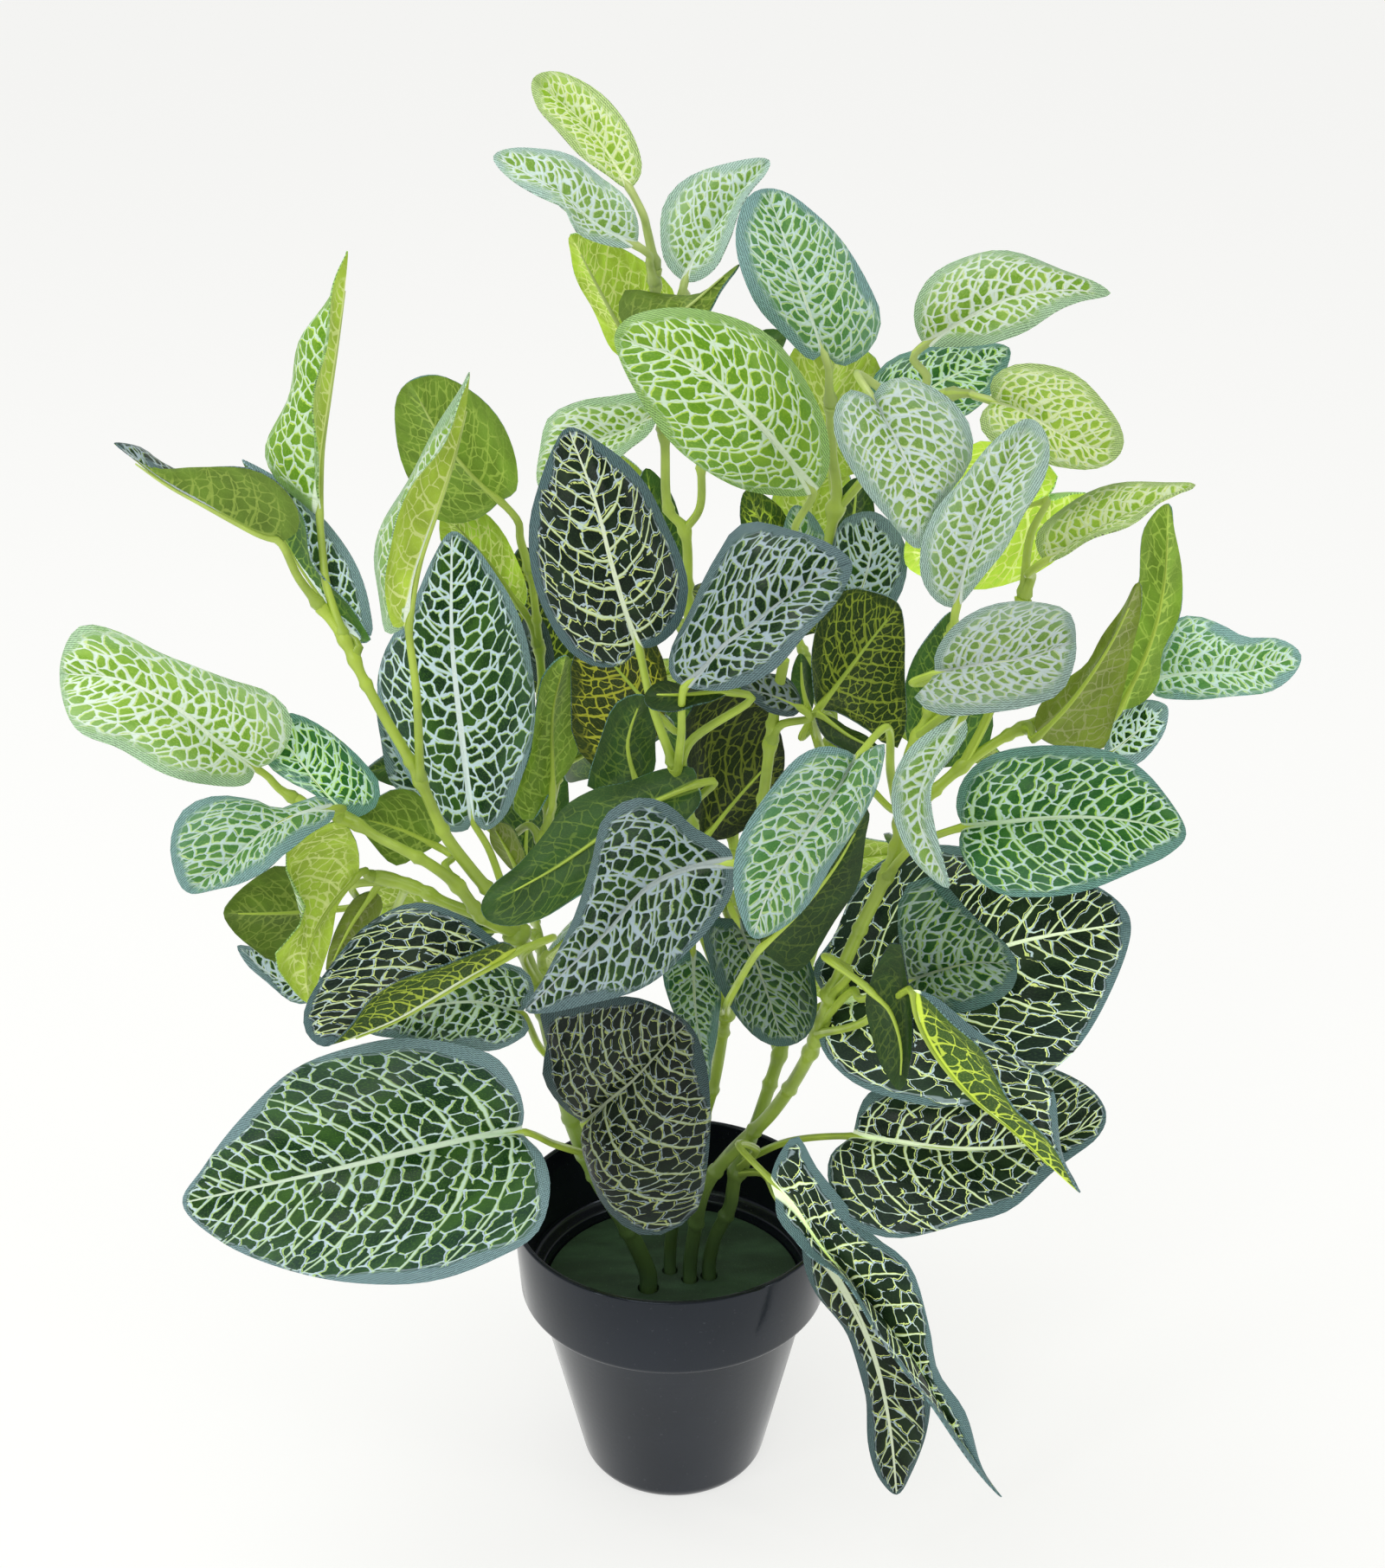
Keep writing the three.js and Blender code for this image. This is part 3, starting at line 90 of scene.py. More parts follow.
# Stems and twigs: name, stem, parent, radius at each end, and places (column, row, depth).
BRANCHES = (
    ("left", "left", None, (3.7, 2.6),
     [(749, 1492, -3), (725, 1420, -6), (690, 1362, -8), (662, 1300, -12), (642, 1225, -16),
     (620, 1140, -22), (596, 1076, -28)]),
    ("left_high", "left", "left", (2.4, 1.5),
     [(598, 1079, -28), (575, 1042, -32), (545, 1006, -36), (514, 964, -40), (490, 912, -44),
     (472, 876, -46), (445, 830, -46), (420, 785, -45), (398, 740, -42), (371, 702, -38)]),
    ("left_far", "left", "left", (2.4, 1.5),
     [(598, 1079, -28), (558, 1060, -36), (527, 1022, -42), (497, 999, -44), (464, 981, -44),
     (438, 968, -42), (413, 953, -40), (380, 940, -36), (344, 925, -32)]),
    ("left_low", "left", "left_far", (2.2, 1.4),
     [(555, 1059, -36), (515, 1043, -34), (490, 1030, -32), (464, 1020, -30), (430, 1012, -28)]),
    ("left_inner", "left", "left", (2.2, 1.3),
     [(598, 1079, -28), (612, 1020, -18), (632, 960, -8), (634, 900, 0), (630, 840, 5),
     (624, 760, 8), (618, 700, 6), (613, 660, 4)]),
    ("slant", "right", None, (2.9, 2),
     [(797, 1482, 2), (803, 1420, -2), (815, 1372, -6), (844, 1333, -12), (893, 1284, -22),
     (936, 1216, -35), (960, 1150, -45), (995, 1070, -55), (1015, 1030, -60), (1037, 976, -64),
     (1043, 920, -64), (1052, 870, -64), (1070, 835, -66), (1088, 790, -70), (1100, 735, -72)]),
    ("right", "right", "slant", (2, 1.5),
     [(1037, 980, -60), (1060, 935, -54), (1111, 886, -48), (1160, 852, -44), (1200, 832, -40),
     (1236, 812, -36)]),
    ("right_high", "right", "right", (1.7, 1.2),
     [(1111, 886, -48), (1140, 830, -44), (1166, 760, -42), (1182, 692, -40)]),
    ("middle", "middle", None, (2.9, 1.7),
     [(819, 1478, 4), (826, 1430, 3), (843, 1395, 2), (849, 1362, 0), (862, 1330, 0),
     (877, 1290, 4), (900, 1220, 10), (925, 1140, 14), (950, 1050, 14), (965, 950, 8),
     (962, 850, -2), (958, 760, -4), (955, 680, -4), (958, 625, -4), (967, 572, -6),
     (961, 523, -12), (960, 470, -18)]),
    ("middle_right", "middle", "middle", (1.6, 1.2),
     [(965, 592, -4), (1000, 550, -8), (1035, 500, -12), (1060, 462, -14), (1094, 455, -16)]),
    ("centre", "centre", None, (2.6, 1.8),
     [(774, 1472, 7), (776, 1425, 6), (792, 1350, 4), (822, 1262, 0), (837, 1180, -8),
     (853, 1085, -22), (872, 990, -34), (884, 905, -42), (895, 820, -46), (906, 762, -48)]),
    ("centre_front", "centre", "centre", (1.9, 1.5),
     [(853, 1085, -22), (822, 1010, -44), (796, 945, -60), (779, 885, -68)]),
    ("crown", "centre", "centre", (2.1, 1.4),
     [(862, 1040, -28), (838, 930, -10), (815, 830, 0), (800, 760, 4), (795, 700, 4),
     (790, 611, 2), (773, 590, 2), (768, 510, 4), (763, 440, 8), (758, 380, 10), (757, 311, 8)]),
    ("crown_right", "centre", "crown", (1.5, 1.1),
     [(790, 612, 2), (808, 588, 0), (810, 540, 0), (806, 470, 4), (798, 400, 10), (790, 350, 14)]),
)

LEAVES = (
    # Top.
    ("T1", "crown", "cream", "front", (757, 311), (2, 26, 0, 0, -8),
     [(727, 217), (684, 152), (616, 91)], [(741, 196), (728, 149), (690, 105), (640, 82)],
     [(700, 203), (660, 167), (621, 126)]),
    ("T2", "crown", "pale", "front", (757, 330), (-4, -14, -4, 10, -8),
     [(734, 283), (690, 260), (648, 222), (570, 180)],
     [(737, 262), (722, 228), (686, 198), (640, 174), (598, 171)],
     [(716, 287), (686, 277), (663, 266), (648, 240), (628, 226), (592, 211)]),
    ("T3", "crown", "lime", "back", (760, 470), (20, -16, 4, 4, 8),
     [(738, 418), (698, 345), (659, 271)], [(712, 408), (693, 376), (670, 330), (660, 296)],
     [(776, 385), (782, 345), (756, 312), (712, 284)]),
    ("T4", "crown_right", "green", "back", (800, 440), (-2, -12, 0, 14, -10),
     [(742, 392), (786, 364), (854, 306)],
     [(714, 366), (722, 336), (760, 340), (800, 340), (832, 324)],
     [(790, 388), (822, 354), (840, 328)]),
    ("T5", "crown_right", "pale", "front", (790, 350), (14, 22, 2, 2, -10),
     [(791, 325), (803, 296), (829, 258), (856, 220), (889, 185)],
     [(769, 305), (763, 269), (767, 236), (785, 212), (828, 192)],
     [(806, 324), (830, 307), (841, 284), (849, 250), (868, 224)]),
    ("T6", "middle", "mint", "front", (960, 470), (-20, 16, -4, -3, 4),
     [(952, 408), (930, 345), (908, 280), (885, 218)],
     [(938, 416), (904, 386), (871, 348), (853, 302), (852, 255), (864, 228)],
     [(972, 423), (1003, 405), (1017, 368), (1006, 332), (980, 290), (945, 250), (912, 224)]),
    ("T7", "middle", "lime", "front", (954, 660), (-36, -6, -8, 10, -6),
     [(940, 569), (898, 514), (850, 463), (790, 417), (710, 389)],
     [(955, 545), (954, 500), (930, 437), (891, 389), (828, 363), (768, 356), (723, 369)],
     [(911, 573), (866, 568), (824, 549), (783, 520), (751, 479), (718, 420)], (918, 612, -30)),
    ("T8", "middle", "lime", "back", (966, 590), (12, -6, 4, 6, 6),
     [(961, 552), (956, 480), (966, 396)], [(925, 540), (908, 470), (915, 405)],
     [(1000, 540), (1022, 470), (1010, 412)]),
    ("T9", "crown_right", "green", "back", (800, 470), (16, 6, 0, 4, -4),
     [(838, 446), (872, 412), (909, 386)], [(846, 418), (872, 386), (894, 380)],
     [(862, 446), (890, 425), (904, 402)]),
    ("T10", "crown", "frost", "front", (767, 500), (0, -20, 0, 6, -8),
     [(758, 478), (715, 500), (660, 520), (622, 562)],
     [(745, 456), (705, 458), (665, 466), (634, 482), (624, 520)],
     [(752, 498), (716, 530), (680, 560), (645, 572)]),
    # Left.
    ("L1", "left_high", "lime", "front", (398, 740), (-22, 14, 6, 10, -10),
     [(369, 595), (368, 540), (377, 467), (391, 370), (401, 290)],
     [(345, 578), (322, 556), (309, 522), (330, 460), (346, 398), (380, 348)],
     [(365, 560), (364, 515), (366, 465), (371, 413), (382, 348)]),
    ("L2", "left_high", "ice", "back", (371, 702), (-40, -8, -4, 4, 26),
     [(322, 624), (291, 611), (250, 588), (208, 566), (175, 545), (132, 512)],
     [(344, 614), (345, 592), (323, 560), (291, 541), (227, 540), (172, 540)],
     [(318, 600), (270, 560), (200, 545), (158, 518)], (345, 668, -40)),
    ("L3", "left_high", "ice", "front", (408, 762), (-40, 30, 2, 8, -8),
     [(412, 742), (385, 705), (350, 655), (325, 612), (280, 531)],
     [(429, 733), (428, 705), (418, 670), (396, 630), (371, 595), (340, 566), (305, 544)],
     [(428, 741), (406, 706), (381, 675), (365, 649), (350, 600), (305, 552)]),
    ("L4", "left_inner", "green", "back", (613, 662), (-2, -10, 2, 6, 6),
     [(578, 579), (545, 548), (505, 497), (474, 440)],
     [(560, 594), (530, 604), (500, 598), (470, 550), (458, 500), (458, 460)],
     [(596, 568), (598, 540), (590, 510), (572, 478), (545, 452), (505, 434)]),
    ("L5", "left_high", "frost", "front", (487, 902), (-62, 12, 4, 10, -8),
     [(472, 722), (476, 672), (490, 625), (512, 560), (532, 490), (542, 430)],
     [(450, 733), (440, 708), (432, 655), (440, 620), (470, 552), (500, 505), (530, 452)],
     [(456, 726), (446, 690), (452, 612), (480, 560), (515, 500), (538, 450)], (481, 800, -58)),
    ("L6", "left_inner", "lime", "back", (622, 750), (8, -4, 2, 4, 4),
     [(603, 703), (562, 645), (512, 590)], [(575, 702), (530, 662), (508, 618)],
     [(609, 685), (592, 635), (560, 592), (533, 583)]),
    ("L7", "left", "ice", "front", (600, 1085), (-24, 10, -6, 4, 6),
     [(546, 948), (532, 839), (522, 740), (522, 614)],
     [(540, 958), (515, 958), (495, 930), (455, 870), (437, 800), (445, 755), (475, 700), (500, 645)],
     [(560, 960), (582, 945), (608, 876), (618, 825), (614, 765), (598, 709), (570, 660), (545, 628)],
     (566, 984, -22)),
    ("L7b", "left_inner", "ice", "front", (625, 975), (8, 4, 0, -4, 8),
     [(560, 952), (500, 892), (438, 806)], [(530, 945), (490, 926), (455, 909), (440, 858)],
     [(545, 880), (505, 830), (462, 800)]),
    ("L8", "left_inner", "green", "back", (634, 965), (-10, -2, 4, -6, 8),
     [(638, 912), (637, 870), (638, 820), (653, 757)],
     [(612, 950), (593, 935), (610, 870), (621, 820), (628, 778)],
     [(658, 890), (669, 850), (670, 805), (664, 772)]),
    ("L9", "left_inner", "ice", "front", (628, 800), (16, 6, 0, 2, 2),
     [(634, 792), (622, 750), (612, 704)], [(612, 780), (602, 730)], [(640, 765), (632, 726)]),
    ("L10", "left", "lime", "back", (604, 1095), (-10, 8, 0, -6, 6),
     [(603, 1010), (588, 980), (570, 950)], [(606, 985), (590, 955)], [(575, 988), (566, 962)]),
    ("W1", "left_far", "frost", "front", (344, 925), (-34, -14, -6, 10, -8),
     [(296, 888), (251, 857), (203, 817), (140, 786), (69, 778)],
     [(310, 882), (330, 860), (337, 830), (315, 804), (270, 787), (200, 762), (140, 731), (92, 724)],
     [(285, 906), (235, 906), (187, 893), (140, 866), (88, 841)]),
    ("W2", "left_far", "green", "front", (413, 953), (-34, 10, 0, 8, -2),
     [(404, 943), (372, 912), (338, 868), (308, 835)],
     [(412, 944), (434, 932), (438, 906), (420, 880), (394, 857), (366, 836), (335, 824)],
     [(391, 938), (366, 919), (334, 903), (306, 878)]),
    ("W3", "left_far", "mint", "front", (395, 948), (-48, -24, -4, 8, -8),
     [(386, 934), (345, 940), (303, 962), (262, 997), (216, 1031)],
     [(372, 920), (347, 927), (320, 939), (302, 928), (251, 919), (212, 937), (197, 983)],
     [(383, 948), (353, 967), (328, 987), (308, 1008), (262, 1024)]),
    ("W4", "left_low", "lime", "back", (435, 1013), (-34, -14, 0, -4, 2),
     [(414, 1010), (390, 1034), (368, 1064), (352, 1110), (357, 1160)],
     [(413, 976), (395, 950), (360, 958), (327, 989), (340, 1022),
      (356, 1055), (335, 1082), (316, 1106), (332, 1136)],
     [(405, 1024), (390, 1050), (384, 1075), (376, 1108), (364, 1145)]),
    ("W5", "left_low", "lime", "back", (455, 1018), (-8, -8, 0, 6, -2),
     [(372, 1052), (315, 1055), (258, 1055)], [(350, 1012), (322, 1000), (290, 1018), (268, 1038)],
     [(350, 1106), (318, 1113), (290, 1094), (268, 1075)]),
    ("W6", "left_low", "ice", "front", (470, 1024), (6, 10, 0, 12, -4),
     [(384, 1146), (322, 1130), (274, 1093)], [(345, 1112), (300, 1097)],
     [(345, 1160), (312, 1139), (284, 1112)], (440, 1080, 0)),
    ("W7", "left_far", "pale", "back", (530, 1024), (-22, -4, 2, 6, -2),
     [(503, 977), (462, 958), (412, 944)],
     [(516, 962), (497, 932), (478, 914), (455, 912), (430, 926)],
     [(485, 988), (458, 1000), (430, 975)]),
    ("W8", "left_low", "lime", "back", (445, 1016), (-18, -4, 0, 0, 0),
     [(432, 1030), (405, 1070), (378, 1124)], [(412, 1036), (394, 1062), (380, 1098)],
     [(442, 1044), (428, 1075), (402, 1104)]),
    ("W9", "left_low", "lime", "back", (495, 1033), (0, 6, 0, 6, -6),
     [(490, 1046), (455, 1046), (412, 1060)], [(474, 1024), (436, 1026)], [(470, 1068), (440, 1078)]),
    # Lower left.
    ("B1", "left", "ink", "front", (618, 1135), (-62, -22, -2, 16, -8),
     [(598, 1099), (553, 1122), (510, 1147), (460, 1176), (418, 1194), (374, 1209)],
     [(574, 1088), (540, 1063), (482, 1043), (426, 1066), (382, 1117), (352, 1170), (355, 1195)],
     [(585, 1090), (540, 1101), (502, 1117), (464, 1135), (426, 1158), (400, 1188)]),
    ("B2", "left", "fern", "front", (642, 1228), (-38, -10, -2, 8, -8),
     [(603, 1171), (553, 1158), (500, 1162), (460, 1174), (424, 1191)],
     [(616, 1150), (608, 1122), (570, 1112), (515, 1118), (465, 1150)],
     [(611, 1190), (597, 1203), (570, 1214), (527, 1212), (480, 1202)], (622, 1208, -30)),
    ("B3", "left", "fern", "front", (676, 1332), (-62, -14, -8, 18, -22),
     [(603, 1308), (561, 1312), (495, 1326), (410, 1346), (330, 1364), (211, 1390)],
     [(605, 1286), (599, 1259), (575, 1224), (530, 1207), (468, 1199),
      (410, 1209), (339, 1236), (280, 1292), (235, 1350)],
     [(626, 1334), (635, 1372), (620, 1425), (565, 1458), (500, 1480), (430, 1484), (350, 1472), (255, 1435)],
     (640, 1322, -42)),
    # Centre.
    ("C1", "centre_front", "ice", "front", (822, 1010), (-96, -26, 6, 12, -10),
     [(846, 997), (798, 1003), (750, 1024), (700, 1078), (650, 1125), (607, 1168)],
     [(845, 984), (800, 955), (770, 929), (736, 922), (700, 942), (683, 998), (660, 1068), (630, 1130)],
     [(846, 1030), (822, 1070), (790, 1104), (740, 1143), (680, 1161)]),
    ("C2", "centre", "ink", "front", (812, 1290), (-44, -14, 0, -2, -10),
     [(674, 1300), (700, 1275), (730, 1250), (768, 1209), (794, 1182)],
     [(651, 1279), (627, 1240), (632, 1206), (624, 1174), (663, 1160), (720, 1152), (765, 1165)],
     [(671, 1322), (678, 1350), (700, 1395), (750, 1427), (800, 1405), (815, 1355), (822, 1275), (812, 1215)],
     (740, 1322, -22)),
    ("C3", "centre_front", "green", "back", (800, 955), (-72, 0, 0, 8, -10),
     [(806, 906), (740, 935), (670, 985), (610, 1022), (556, 1046)],
     [(800, 888), (764, 889), (725, 905), (687, 912), (650, 932), (625, 968), (600, 1000), (568, 1024)],
     [(810, 925), (790, 950), (720, 1010), (660, 1040), (617, 1064), (585, 1070), (562, 1062)]),
    ("C4", "centre_front", "green", "back", (790, 925), (-50, -2, 4, 0, 4),
     [(736, 908), (725, 860), (742, 803)], [(700, 915), (680, 912), (694, 855), (712, 812)],
     [(755, 890), (757, 850), (752, 815)]),
    ("C5", "crown", "ink", "back", (818, 845), (-14, 2, 2, -4, 6),
     [(766, 832), (728, 790), (682, 735)],
     [(742, 880), (700, 895), (665, 862), (660, 800), (662, 760)],
     [(772, 790), (756, 742), (720, 718)]),
    ("C6", "centre", "ink", "back", (868, 1010), (-22, 8, 2, 0, 2),
     [(814, 968), (847, 926), (905, 862)],
     [(800, 930), (794, 880), (794, 825), (820, 800), (858, 798), (888, 820)],
     [(850, 965), (885, 935), (905, 895)]),
    ("D1", "centre_front", "ink", "front", (779, 885), (-76, 14, -6, 0, 8),
     [(738, 750), (722, 705), (706, 650), (688, 580), (656, 494)],
     [(719, 766), (690, 769), (655, 750), (622, 690), (612, 610), (624, 555), (640, 516)],
     [(757, 747), (782, 725), (793, 683), (788, 648), (770, 603), (745, 560), (700, 517)],
     (752, 810, -74)),
    ("D2", "centre_front", "ice", "front", (782, 895), (-84, 10, -4, 16, -12),
     [(791, 793), (810, 776), (838, 744), (866, 724), (900, 696), (942, 668), (984, 650)],
     [(775, 780), (774, 752), (800, 700), (831, 641), (850, 609), (872, 602), (910, 611), (955, 628)],
     [(815, 798), (845, 797), (895, 772), (935, 732), (975, 680)], (787, 850, -78)),
    ("D3", "centre_front", "green", "back", (784, 905), (-76, -8, 0, 10, -4),
     [(842, 800), (795, 806), (744, 806)], [(800, 794), (758, 789)],
     [(815, 812), (775, 822), (750, 818)]),
    ("D4", "middle", "ice", "back", (962, 860), (-34, 0, 4, 2, 4),
     [(946, 818), (975, 779), (1006, 738), (1038, 698)],
     [(938, 780), (940, 738), (955, 700), (980, 679), (1008, 683)],
     [(965, 822), (1000, 842), (1034, 866), (1046, 838), (1045, 780), (1045, 730)]),
    ("D5", "middle", "ice", "back", (964, 900), (-48, 10, 0, 6, -4),
     [(942, 824), (980, 852), (1022, 870)], [(965, 832), (1000, 852)], [(952, 850), (990, 874)],
     (944, 850, -34)),
    ("D6", "middle", "ice", "back", (963, 920), (-32, 4, 0, 0, 4),
     [(934, 824), (926, 795), (924, 755)], [(918, 812), (914, 780)], [(941, 800), (936, 770)]),
    ("D7", "centre", "ice", "front", (891, 860), (-52, 0, 0, 8, -4),
     [(925, 818), (892, 803), (856, 794)], [(916, 790), (885, 778)], [(915, 828), (885, 821)]),
    ("D8", "middle", "ice", "front", (957, 740), (-14, 6, 0, 4, 2),
     [(985, 712), (1003, 655), (1012, 592)], [(965, 690), (960, 640), (975, 600)],
     [(1028, 705), (1046, 665), (1044, 625)]),
    ("D9", "middle", "ice", "back", (965, 950), (-28, 4, 2, 0, 6),
     [(1062, 884), (1085, 800), (1102, 706)], [(1047, 850), (1046, 790), (1070, 737)],
     [(1110, 882), (1147, 850), (1132, 770), (1110, 730)]),
    ("X1", "crown", "ice", "back", (793, 700), (20, 8, 0, 0, 2), [(788, 668), (760, 610), (746, 541)],
     [(752, 640), (736, 580)], [(790, 620), (772, 565)]),
    ("X2", "middle", "ink", "back", (956, 700), (12, 6, 0, 0, 4), [(905, 680), (885, 620), (862, 566)],
     [(872, 650), (855, 598)], [(918, 640), (900, 585)]),
    ("X3", "middle", "mint", "front", (956, 690), (8, 8, 0, 0, 4),
     [(945, 678), (930, 630), (918, 584)], [(912, 655), (905, 610)], [(956, 640), (940, 596)]),
    ("X4", "middle", "green", "back", (958, 640), (18, 6, 0, 2, 2),
     [(975, 640), (985, 600), (990, 552)], [(960, 615), (966, 575)], [(1004, 620), (1008, 575)]),
    # Right.
    ("E1", "middle_right", "pale", "front", (1030, 508), (-50, -22, -4, 4, 4),
     [(1007, 459), (1035, 508), (1057, 560), (1062, 634)],
     [(985, 450), (966, 468), (964, 500), (985, 545), (1022, 594)],
     [(1020, 444), (1045, 436), (1095, 459), (1120, 492), (1122, 530), (1090, 580)]),
    ("E2", "slant", "pale", "front", (1100, 735), (-76, 10, -4, 4, -8),
     [(1105, 701), (1119, 642), (1141, 585), (1165, 533), (1190, 484)],
     [(1084, 696), (1065, 670), (1065, 630), (1082, 588), (1114, 551), (1145, 513), (1170, 492)],
     [(1120, 687), (1147, 652), (1174, 613), (1200, 565), (1213, 520), (1206, 496)]),
    ("E3", "middle_right", "cream", "front", (1094, 455), (-34, -16, -4, 10, -6),
     [(1146, 463), (1184, 476), (1218, 497), (1262, 517), (1297, 518)],
     [(1146, 440), (1165, 424), (1200, 420), (1240, 432), (1272, 462), (1295, 495)],
     [(1134, 478), (1133, 495), (1150, 515), (1190, 528), (1225, 539), (1262, 543), (1285, 534)]),
    ("E4", "middle_right", "frost", "front", (1058, 462), (-20, -6, -4, 10, -6),
     [(1069, 398), (1110, 372), (1165, 345), (1225, 335), (1283, 339)],
     [(1057, 374), (1060, 345), (1085, 311), (1141, 291), (1195, 299), (1245, 318)],
     [(1100, 400), (1150, 397), (1190, 379), (1225, 359), (1255, 346)]),
    ("E5", "middle_right", "green", "front", (1020, 520), (4, 4, -2, 10, -6),
     [(1030, 478), (1085, 442), (1166, 402)], [(1005, 450), (1025, 420), (1065, 402), (1120, 398)],
     [(1080, 490), (1118, 480), (1145, 455), (1163, 425)]),
    ("E6", "right_high", "lime", "back", (1182, 692), (-26, 14, 6, 8, -2),
     [(1210, 578), (1150, 595), (1095, 625), (1046, 652)],
     [(1222, 550), (1180, 520), (1125, 511), (1082, 556), (1052, 606)],
     [(1255, 572), (1250, 610), (1225, 642), (1190, 667), (1135, 681), (1080, 672)], (1190, 620, -40)),
    ("E7", "right_high", "cream", "front", (1182, 692), (-54, -10, 0, 12, -10),
     [(1207, 648), (1258, 618), (1310, 592), (1381, 560)],
     [(1197, 622), (1216, 596), (1250, 572), (1290, 561), (1340, 557)],
     [(1225, 644), (1268, 622), (1312, 600), (1350, 577)]),
    ("E8", "right", "green", "back", (1236, 812), (-26, 0, 4, 4, 0),
     [(1293, 820), (1330, 740), (1345, 670), (1350, 582)],
     [(1275, 800), (1290, 730), (1316, 673), (1322, 610)],
     [(1325, 808), (1340, 785), (1343, 755), (1362, 710), (1366, 665), (1357, 615)]),
    ("E9", "right", "lime", "back", (1180, 842), (-50, -8, 4, 6, 4),
     [(1200, 850), (1245, 800), (1290, 730), (1316, 672)],
     [(1196, 830), (1215, 798), (1262, 758), (1290, 712)],
     [(1235, 866), (1275, 866), (1288, 825), (1303, 775), (1318, 705)]),
    ("E10", "right", "mint", "front", (1236, 812), (-6, -16, 0, 10, -6),
     [(1326, 786), (1380, 777), (1440, 776), (1503, 757)],
     [(1335, 745), (1358, 715), (1386, 713), (1413, 723), (1440, 737), (1480, 739)],
     [(1335, 804), (1382, 808), (1430, 805), (1474, 796), (1497, 777)]),
    ("E11", "right", "ice", "front", (1215, 824), (-24, -4, 0, 8, -6),
     [(1278, 874), (1312, 846), (1348, 816)], [(1282, 842), (1318, 810)], [(1310, 884), (1340, 856)]),
    ("E12", "slant", "green", "front", (1022, 1014), (-86, -10, -6, 12, -14),
     [(1112, 956), (1180, 948), (1250, 944), (1315, 950), (1370, 964)],
     [(1105, 935), (1112, 903), (1140, 875), (1185, 863), (1240, 862), (1290, 872), (1335, 905)],
     [(1108, 975), (1120, 1005), (1155, 1033), (1200, 1038), (1255, 1028), (1310, 1007), (1350, 987)],
     (1062, 974, -80)),
    ("F1", "slant", "pale", "front", (1078, 815), (-92, -6, -4, 10, -8),
     [(1080, 779), (1130, 768), (1190, 759), (1243, 740)],
     [(1080, 758), (1092, 734), (1120, 711), (1160, 696), (1200, 696), (1235, 708)],
     [(1070, 795), (1057, 809), (1084, 825), (1130, 825), (1185, 818), (1225, 800), (1240, 770)]),
    ("F2", "slant", "pale", "front", (1062, 850), (-86, -12, -4, 2, -4),
     [(1112, 828), (1075, 885), (1060, 940), (1096, 1026)],
     [(1085, 838), (1048, 868), (1031, 905), (1035, 950), (1060, 1000)],
     [(1117, 845), (1100, 875), (1078, 910), (1077, 955), (1090, 995)]),
    ("F3", "slant", "mint", "front", (1040, 950), (-106, -34, -4, 0, 6),
     [(992, 874), (955, 931), (916, 987), (885, 1040), (870, 1084)],
     [(975, 866), (950, 863), (920, 876), (888, 912), (855, 970), (848, 1025), (856, 1060)],
     [(1022, 860), (1018, 895), (988, 960), (957, 1006), (925, 1052), (893, 1078)]),
    ("F4", "centre", "ink", "back", (838, 1172), (-90, -6, 2, 4, 4),
     [(880, 1094), (925, 1050), (965, 1000), (1002, 935)],
     [(900, 1115), (918, 1123), (957, 1078), (988, 1026), (1000, 970)],
     [(878, 1062), (898, 1005), (948, 950)], (845, 1150, -62)),
    ("F5", "centre", "green", "front", (856, 1070), (-42, -10, 0, 6, 0),
     [(850, 1062), (880, 1130), (905, 1209)], [(900, 1062), (935, 1110), (944, 1165), (930, 1198)],
     [(814, 1064), (817, 1105), (845, 1165), (875, 1200)]),
    ("F6", "centre", "green", "front", (838, 1172), (-30, -6, 0, 4, -2),
     [(800, 1096), (804, 1170), (818, 1252)], [(825, 1125), (833, 1160), (824, 1210)],
     [(768, 1118), (772, 1155), (795, 1205)]),
    # Lower right.
    ("G1", "slant", "ink", "front", (936, 1216), (-34, -8, -8, 22, -24),
     [(955, 1160), (1050, 1140), (1165, 1092), (1306, 1066)],
     [(940, 1120), (965, 1080), (1000, 1010), (1060, 978), (1150, 985), (1240, 1012), (1290, 1040)],
     [(947, 1205), (980, 1247), (1040, 1271), (1105, 1279), (1160, 1265), (1235, 1221), (1283, 1145)]),
    ("G2", "slant", "green", "front", (950, 1180), (-84, -4, -4, 8, -8),
     [(1047, 1135), (1090, 1120), (1130, 1112), (1174, 1115)],
     [(1040, 1090), (1042, 1030), (1066, 1012), (1090, 1022), (1125, 1060), (1165, 1095)],
     [(1060, 1158), (1104, 1171), (1145, 1160), (1171, 1140)]),
    ("G3", "slant", "ink", "back", (960, 1150), (-98, -10, 0, 4, 2),
     [(1003, 1142), (1028, 1165), (1042, 1210), (1040, 1260)],
     [(1000, 1170), (1010, 1205), (1025, 1245)],
     [(1015, 1112), (1037, 1082), (1047, 1130), (1055, 1185), (1050, 1238)]),
    ("G4", "slant", "ink", "front", (944, 1196), (-104, -16, 0, 10, -8),
     [(1054, 1144), (1070, 1195), (1120, 1262), (1175, 1308), (1248, 1378)],
     [(1080, 1152), (1125, 1190), (1175, 1222), (1210, 1250), (1222, 1300), (1232, 1345)],
     [(1073, 1155), (1120, 1200), (1155, 1250), (1190, 1298), (1225, 1340)], (1000, 1180, -84)),
    ("G5", "middle", "ink", "front", (858, 1342), (-40, -10, -6, 20, -20),
     [(984, 1313), (1040, 1320), (1090, 1327), (1160, 1326), (1225, 1315), (1278, 1290)],
     [(992, 1283), (1003, 1264), (1060, 1240), (1130, 1225), (1200, 1230), (1262, 1260)],
     [(960, 1336), (957, 1365), (978, 1409), (1032, 1431), (1118, 1414),
      (1165, 1398), (1215, 1354), (1268, 1315)],
     (915, 1318, -22)),
